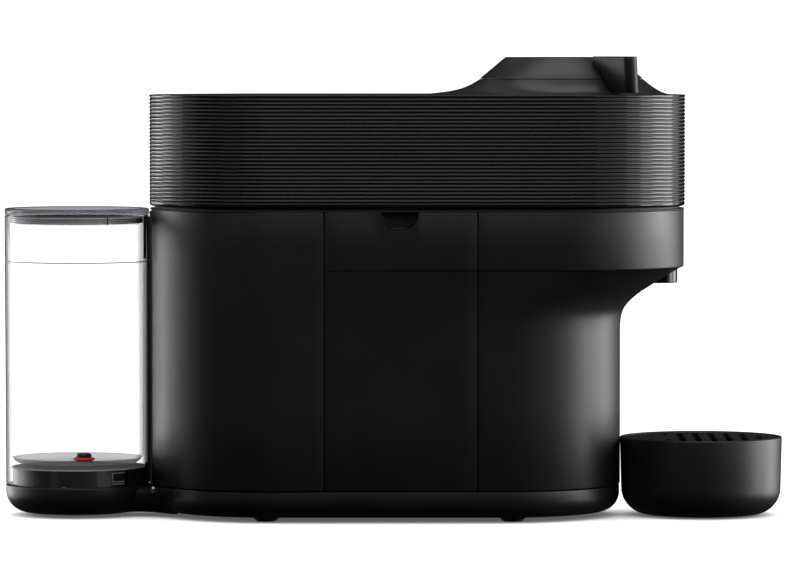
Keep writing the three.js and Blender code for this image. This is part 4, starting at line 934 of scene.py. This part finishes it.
# ------------------------------------------------------------------ floor, world, lights, camera
def stage_floor():
    """white table that glows a little; an ambient-occlusion mask dims the glow where something stands close over it, a
    painted contact shadow
    """
    m, nt, b = new_mat("floor_white")
    out = nt.nodes["Material Output"]
    d = node(nt, "ShaderNodeBsdfDiffuse", Color=(0.12, 0.12, 0.12, 1))
    # painted contact shadow: the floor's glow is scaled by ambient occlusion within 45 mm, so it goes dark under and
    # beside the machine
    contact_shadow_ao = nt.nodes.new("ShaderNodeAmbientOcclusion")
    contact_shadow_ao.samples = 8
    contact_shadow_ao.inputs["Distance"].default_value = 0.045
    painted_shade_range = nt.nodes.new("ShaderNodeMapRange")
    painted_shade_range.inputs["From Min"].default_value, painted_shade_range.inputs["From Max"].default_value = 0.0, 0.75
    painted_shade_range.inputs["To Min"].default_value, painted_shade_range.inputs["To Max"].default_value = 0.09, 1.3
    nt.links.new(contact_shadow_ao.outputs["AO"], painted_shade_range.inputs["Value"])
    e = node(nt, "ShaderNodeEmission", Color=(1, 1, 1, 1))
    nt.links.new(painted_shade_range.outputs["Result"], e.inputs["Strength"])
    a = nt.nodes.new("ShaderNodeAddShader")
    nt.links.new(d.outputs[0], a.inputs[0]); nt.links.new(e.outputs[0], a.inputs[1])
    nt.links.new(a.outputs[0], out.inputs["Surface"])
    nt.nodes.remove(b)
    me = bpy.data.meshes.new("floor")
    s = 40.0
    me.from_pydata([(-s, -s, 0), (s, -s, 0), (s, s, 0), (-s, s, 0)], [], [(0, 1, 2, 3)])
    me.materials.append(m)
    ob = bpy.data.objects.new("floor", me)
    bpy.context.scene.collection.objects.link(ob)
    ob.visible_glossy = False
    ob.visible_diffuse = False
    ob.visible_shadow = False
stage_floor()

scene = bpy.context.scene
world = bpy.data.worlds.new("studio")
scene.world = world
world.use_nodes = True
wn = world.node_tree
bg = wn.nodes["Background"]
bg.inputs["Color"].default_value = (0.012, 0.012, 0.012, 1)
bg.inputs["Strength"].default_value = 1.0
white = node(wn, "ShaderNodeBackground", Color=(1, 1, 1, 1), Strength=1.3)
lp = wn.nodes.new("ShaderNodeLightPath")
direct = wn.nodes.new("ShaderNodeMath"); direct.operation = "LESS_THAN"
wn.links.new(lp.outputs["Diffuse Depth"], direct.inputs[0]); direct.inputs[1].default_value = 0.5
through = wn.nodes.new("ShaderNodeMath"); through.operation = "MULTIPLY"
wn.links.new(lp.outputs["Is Transmission Ray"], through.inputs[0]); wn.links.new(direct.outputs[0], through.inputs[1])
mx = wn.nodes.new("ShaderNodeMath"); mx.operation = "MAXIMUM"
wn.links.new(lp.outputs["Is Camera Ray"], mx.inputs[0]); wn.links.new(through.outputs[0], mx.inputs[1])
ms = wn.nodes.new("ShaderNodeMixShader")
wn.links.new(mx.outputs[0], ms.inputs["Fac"])
wn.links.new(bg.outputs[0], ms.inputs[1]); wn.links.new(white.outputs[0], ms.inputs[2])
wn.links.new(ms.outputs[0], wn.nodes["World Output"].inputs["Surface"])


def area(name, loc, target, sx, sy, power, spread=180.0):
    l = bpy.data.lights.new(name, "AREA")
    l.shape, l.size, l.size_y, l.energy = "RECTANGLE", sx, sy, power
    l.spread = radians(spread)
    o = bpy.data.objects.new(name, l)
    o.location = loc
    o.rotation_euler = (Vector(target) - Vector(loc)).to_track_quat("-Z", "Y").to_euler()
    scene.collection.objects.link(o)
    o.visible_camera = False
    o.visible_transmission = False
    return o
C = (0, 0, 0.13)
# A ring of upright panels, two tiers high: side, angle from the side axis, tier, watts.
for hand, az, tier, watts in (
    (-1, 55, "lo", 2.19),
    (1, 40, "lo", 1.11),
    (1, 40, "hi", 1.15),
    (-1, 40, "lo", 6.06),
    (-1, 40, "hi", 0.48),
    (1, 25, "lo", 6.24),
    (1, 25, "hi", 7.31),
    (-1, 25, "lo", 1.59),
    (-1, 25, "hi", 7.77),
    (1, 10, "lo", 3.14),
    (1, 10, "hi", 14.55),
    (-1, 10, "lo", 1.88),
    (-1, 10, "hi", 2.70),
    (1, -5, "lo", 5.09),
    (1, -5, "hi", 6.97),
    (-1, -5, "lo", 0.50),
    (1, -20, "lo", 0.63),
    (1, -20, "hi", 4.81),
    (1, -35, "hi", 1.77),
    (-1, -35, "lo", 0.06),
    (1, -50, "hi", 1.60),
    (-1, -50, "hi", 0.66),
):
    z, high = (-0.12, 0.62) if tier == "lo" else (0.62, 0.8)
    ca, sa = math.cos(math.radians(az)), math.sin(math.radians(az))
    area("panel_%s%d_%s" % ("r" if hand > 0 else "l", az, tier), (hand * 2 * ca, 2 * sa, z), (0, 0, z), 0.5266, high, watts)
area("topm", (0, 0.1, 1.9), C, 1.4, 0.9, 8.90)
area("topb", (0, 1.3, 1.5), C, 1.8, 0.8, 1.12)
area("topf", (0, -1.2, 1.6), C, 1.8, 0.8, 14.60)
area("topl", (-1.3, 0.1, 1.5), C, 0.8, 1.2, 5.26)
area("frontm", (0, -2.4, 0.8), C, 1, 0.5, 0.80)
area("frontr", (0.9, -2.2, 0.5), C, 0.6, 0.9, 0.25)
area("frontl", (-0.9, -2.2, 0.5), C, 0.6, 0.9, 0.10)

cam_data = bpy.data.cameras.new("camera")
cam = bpy.data.objects.new("camera", cam_data)
scene.collection.objects.link(cam)
cam.location = (0.0, -3.2175, 0.2614)
cam.rotation_euler = (Vector((0.0, 0.0, 0.1219)) - Vector(cam.location)).to_track_quat("-Z", "Y").to_euler()
cam_data.sensor_width, cam_data.lens = 36.0, 268.0
cam_data.clip_end = 200
scene.camera = cam
scene.view_settings.view_transform = "Standard"
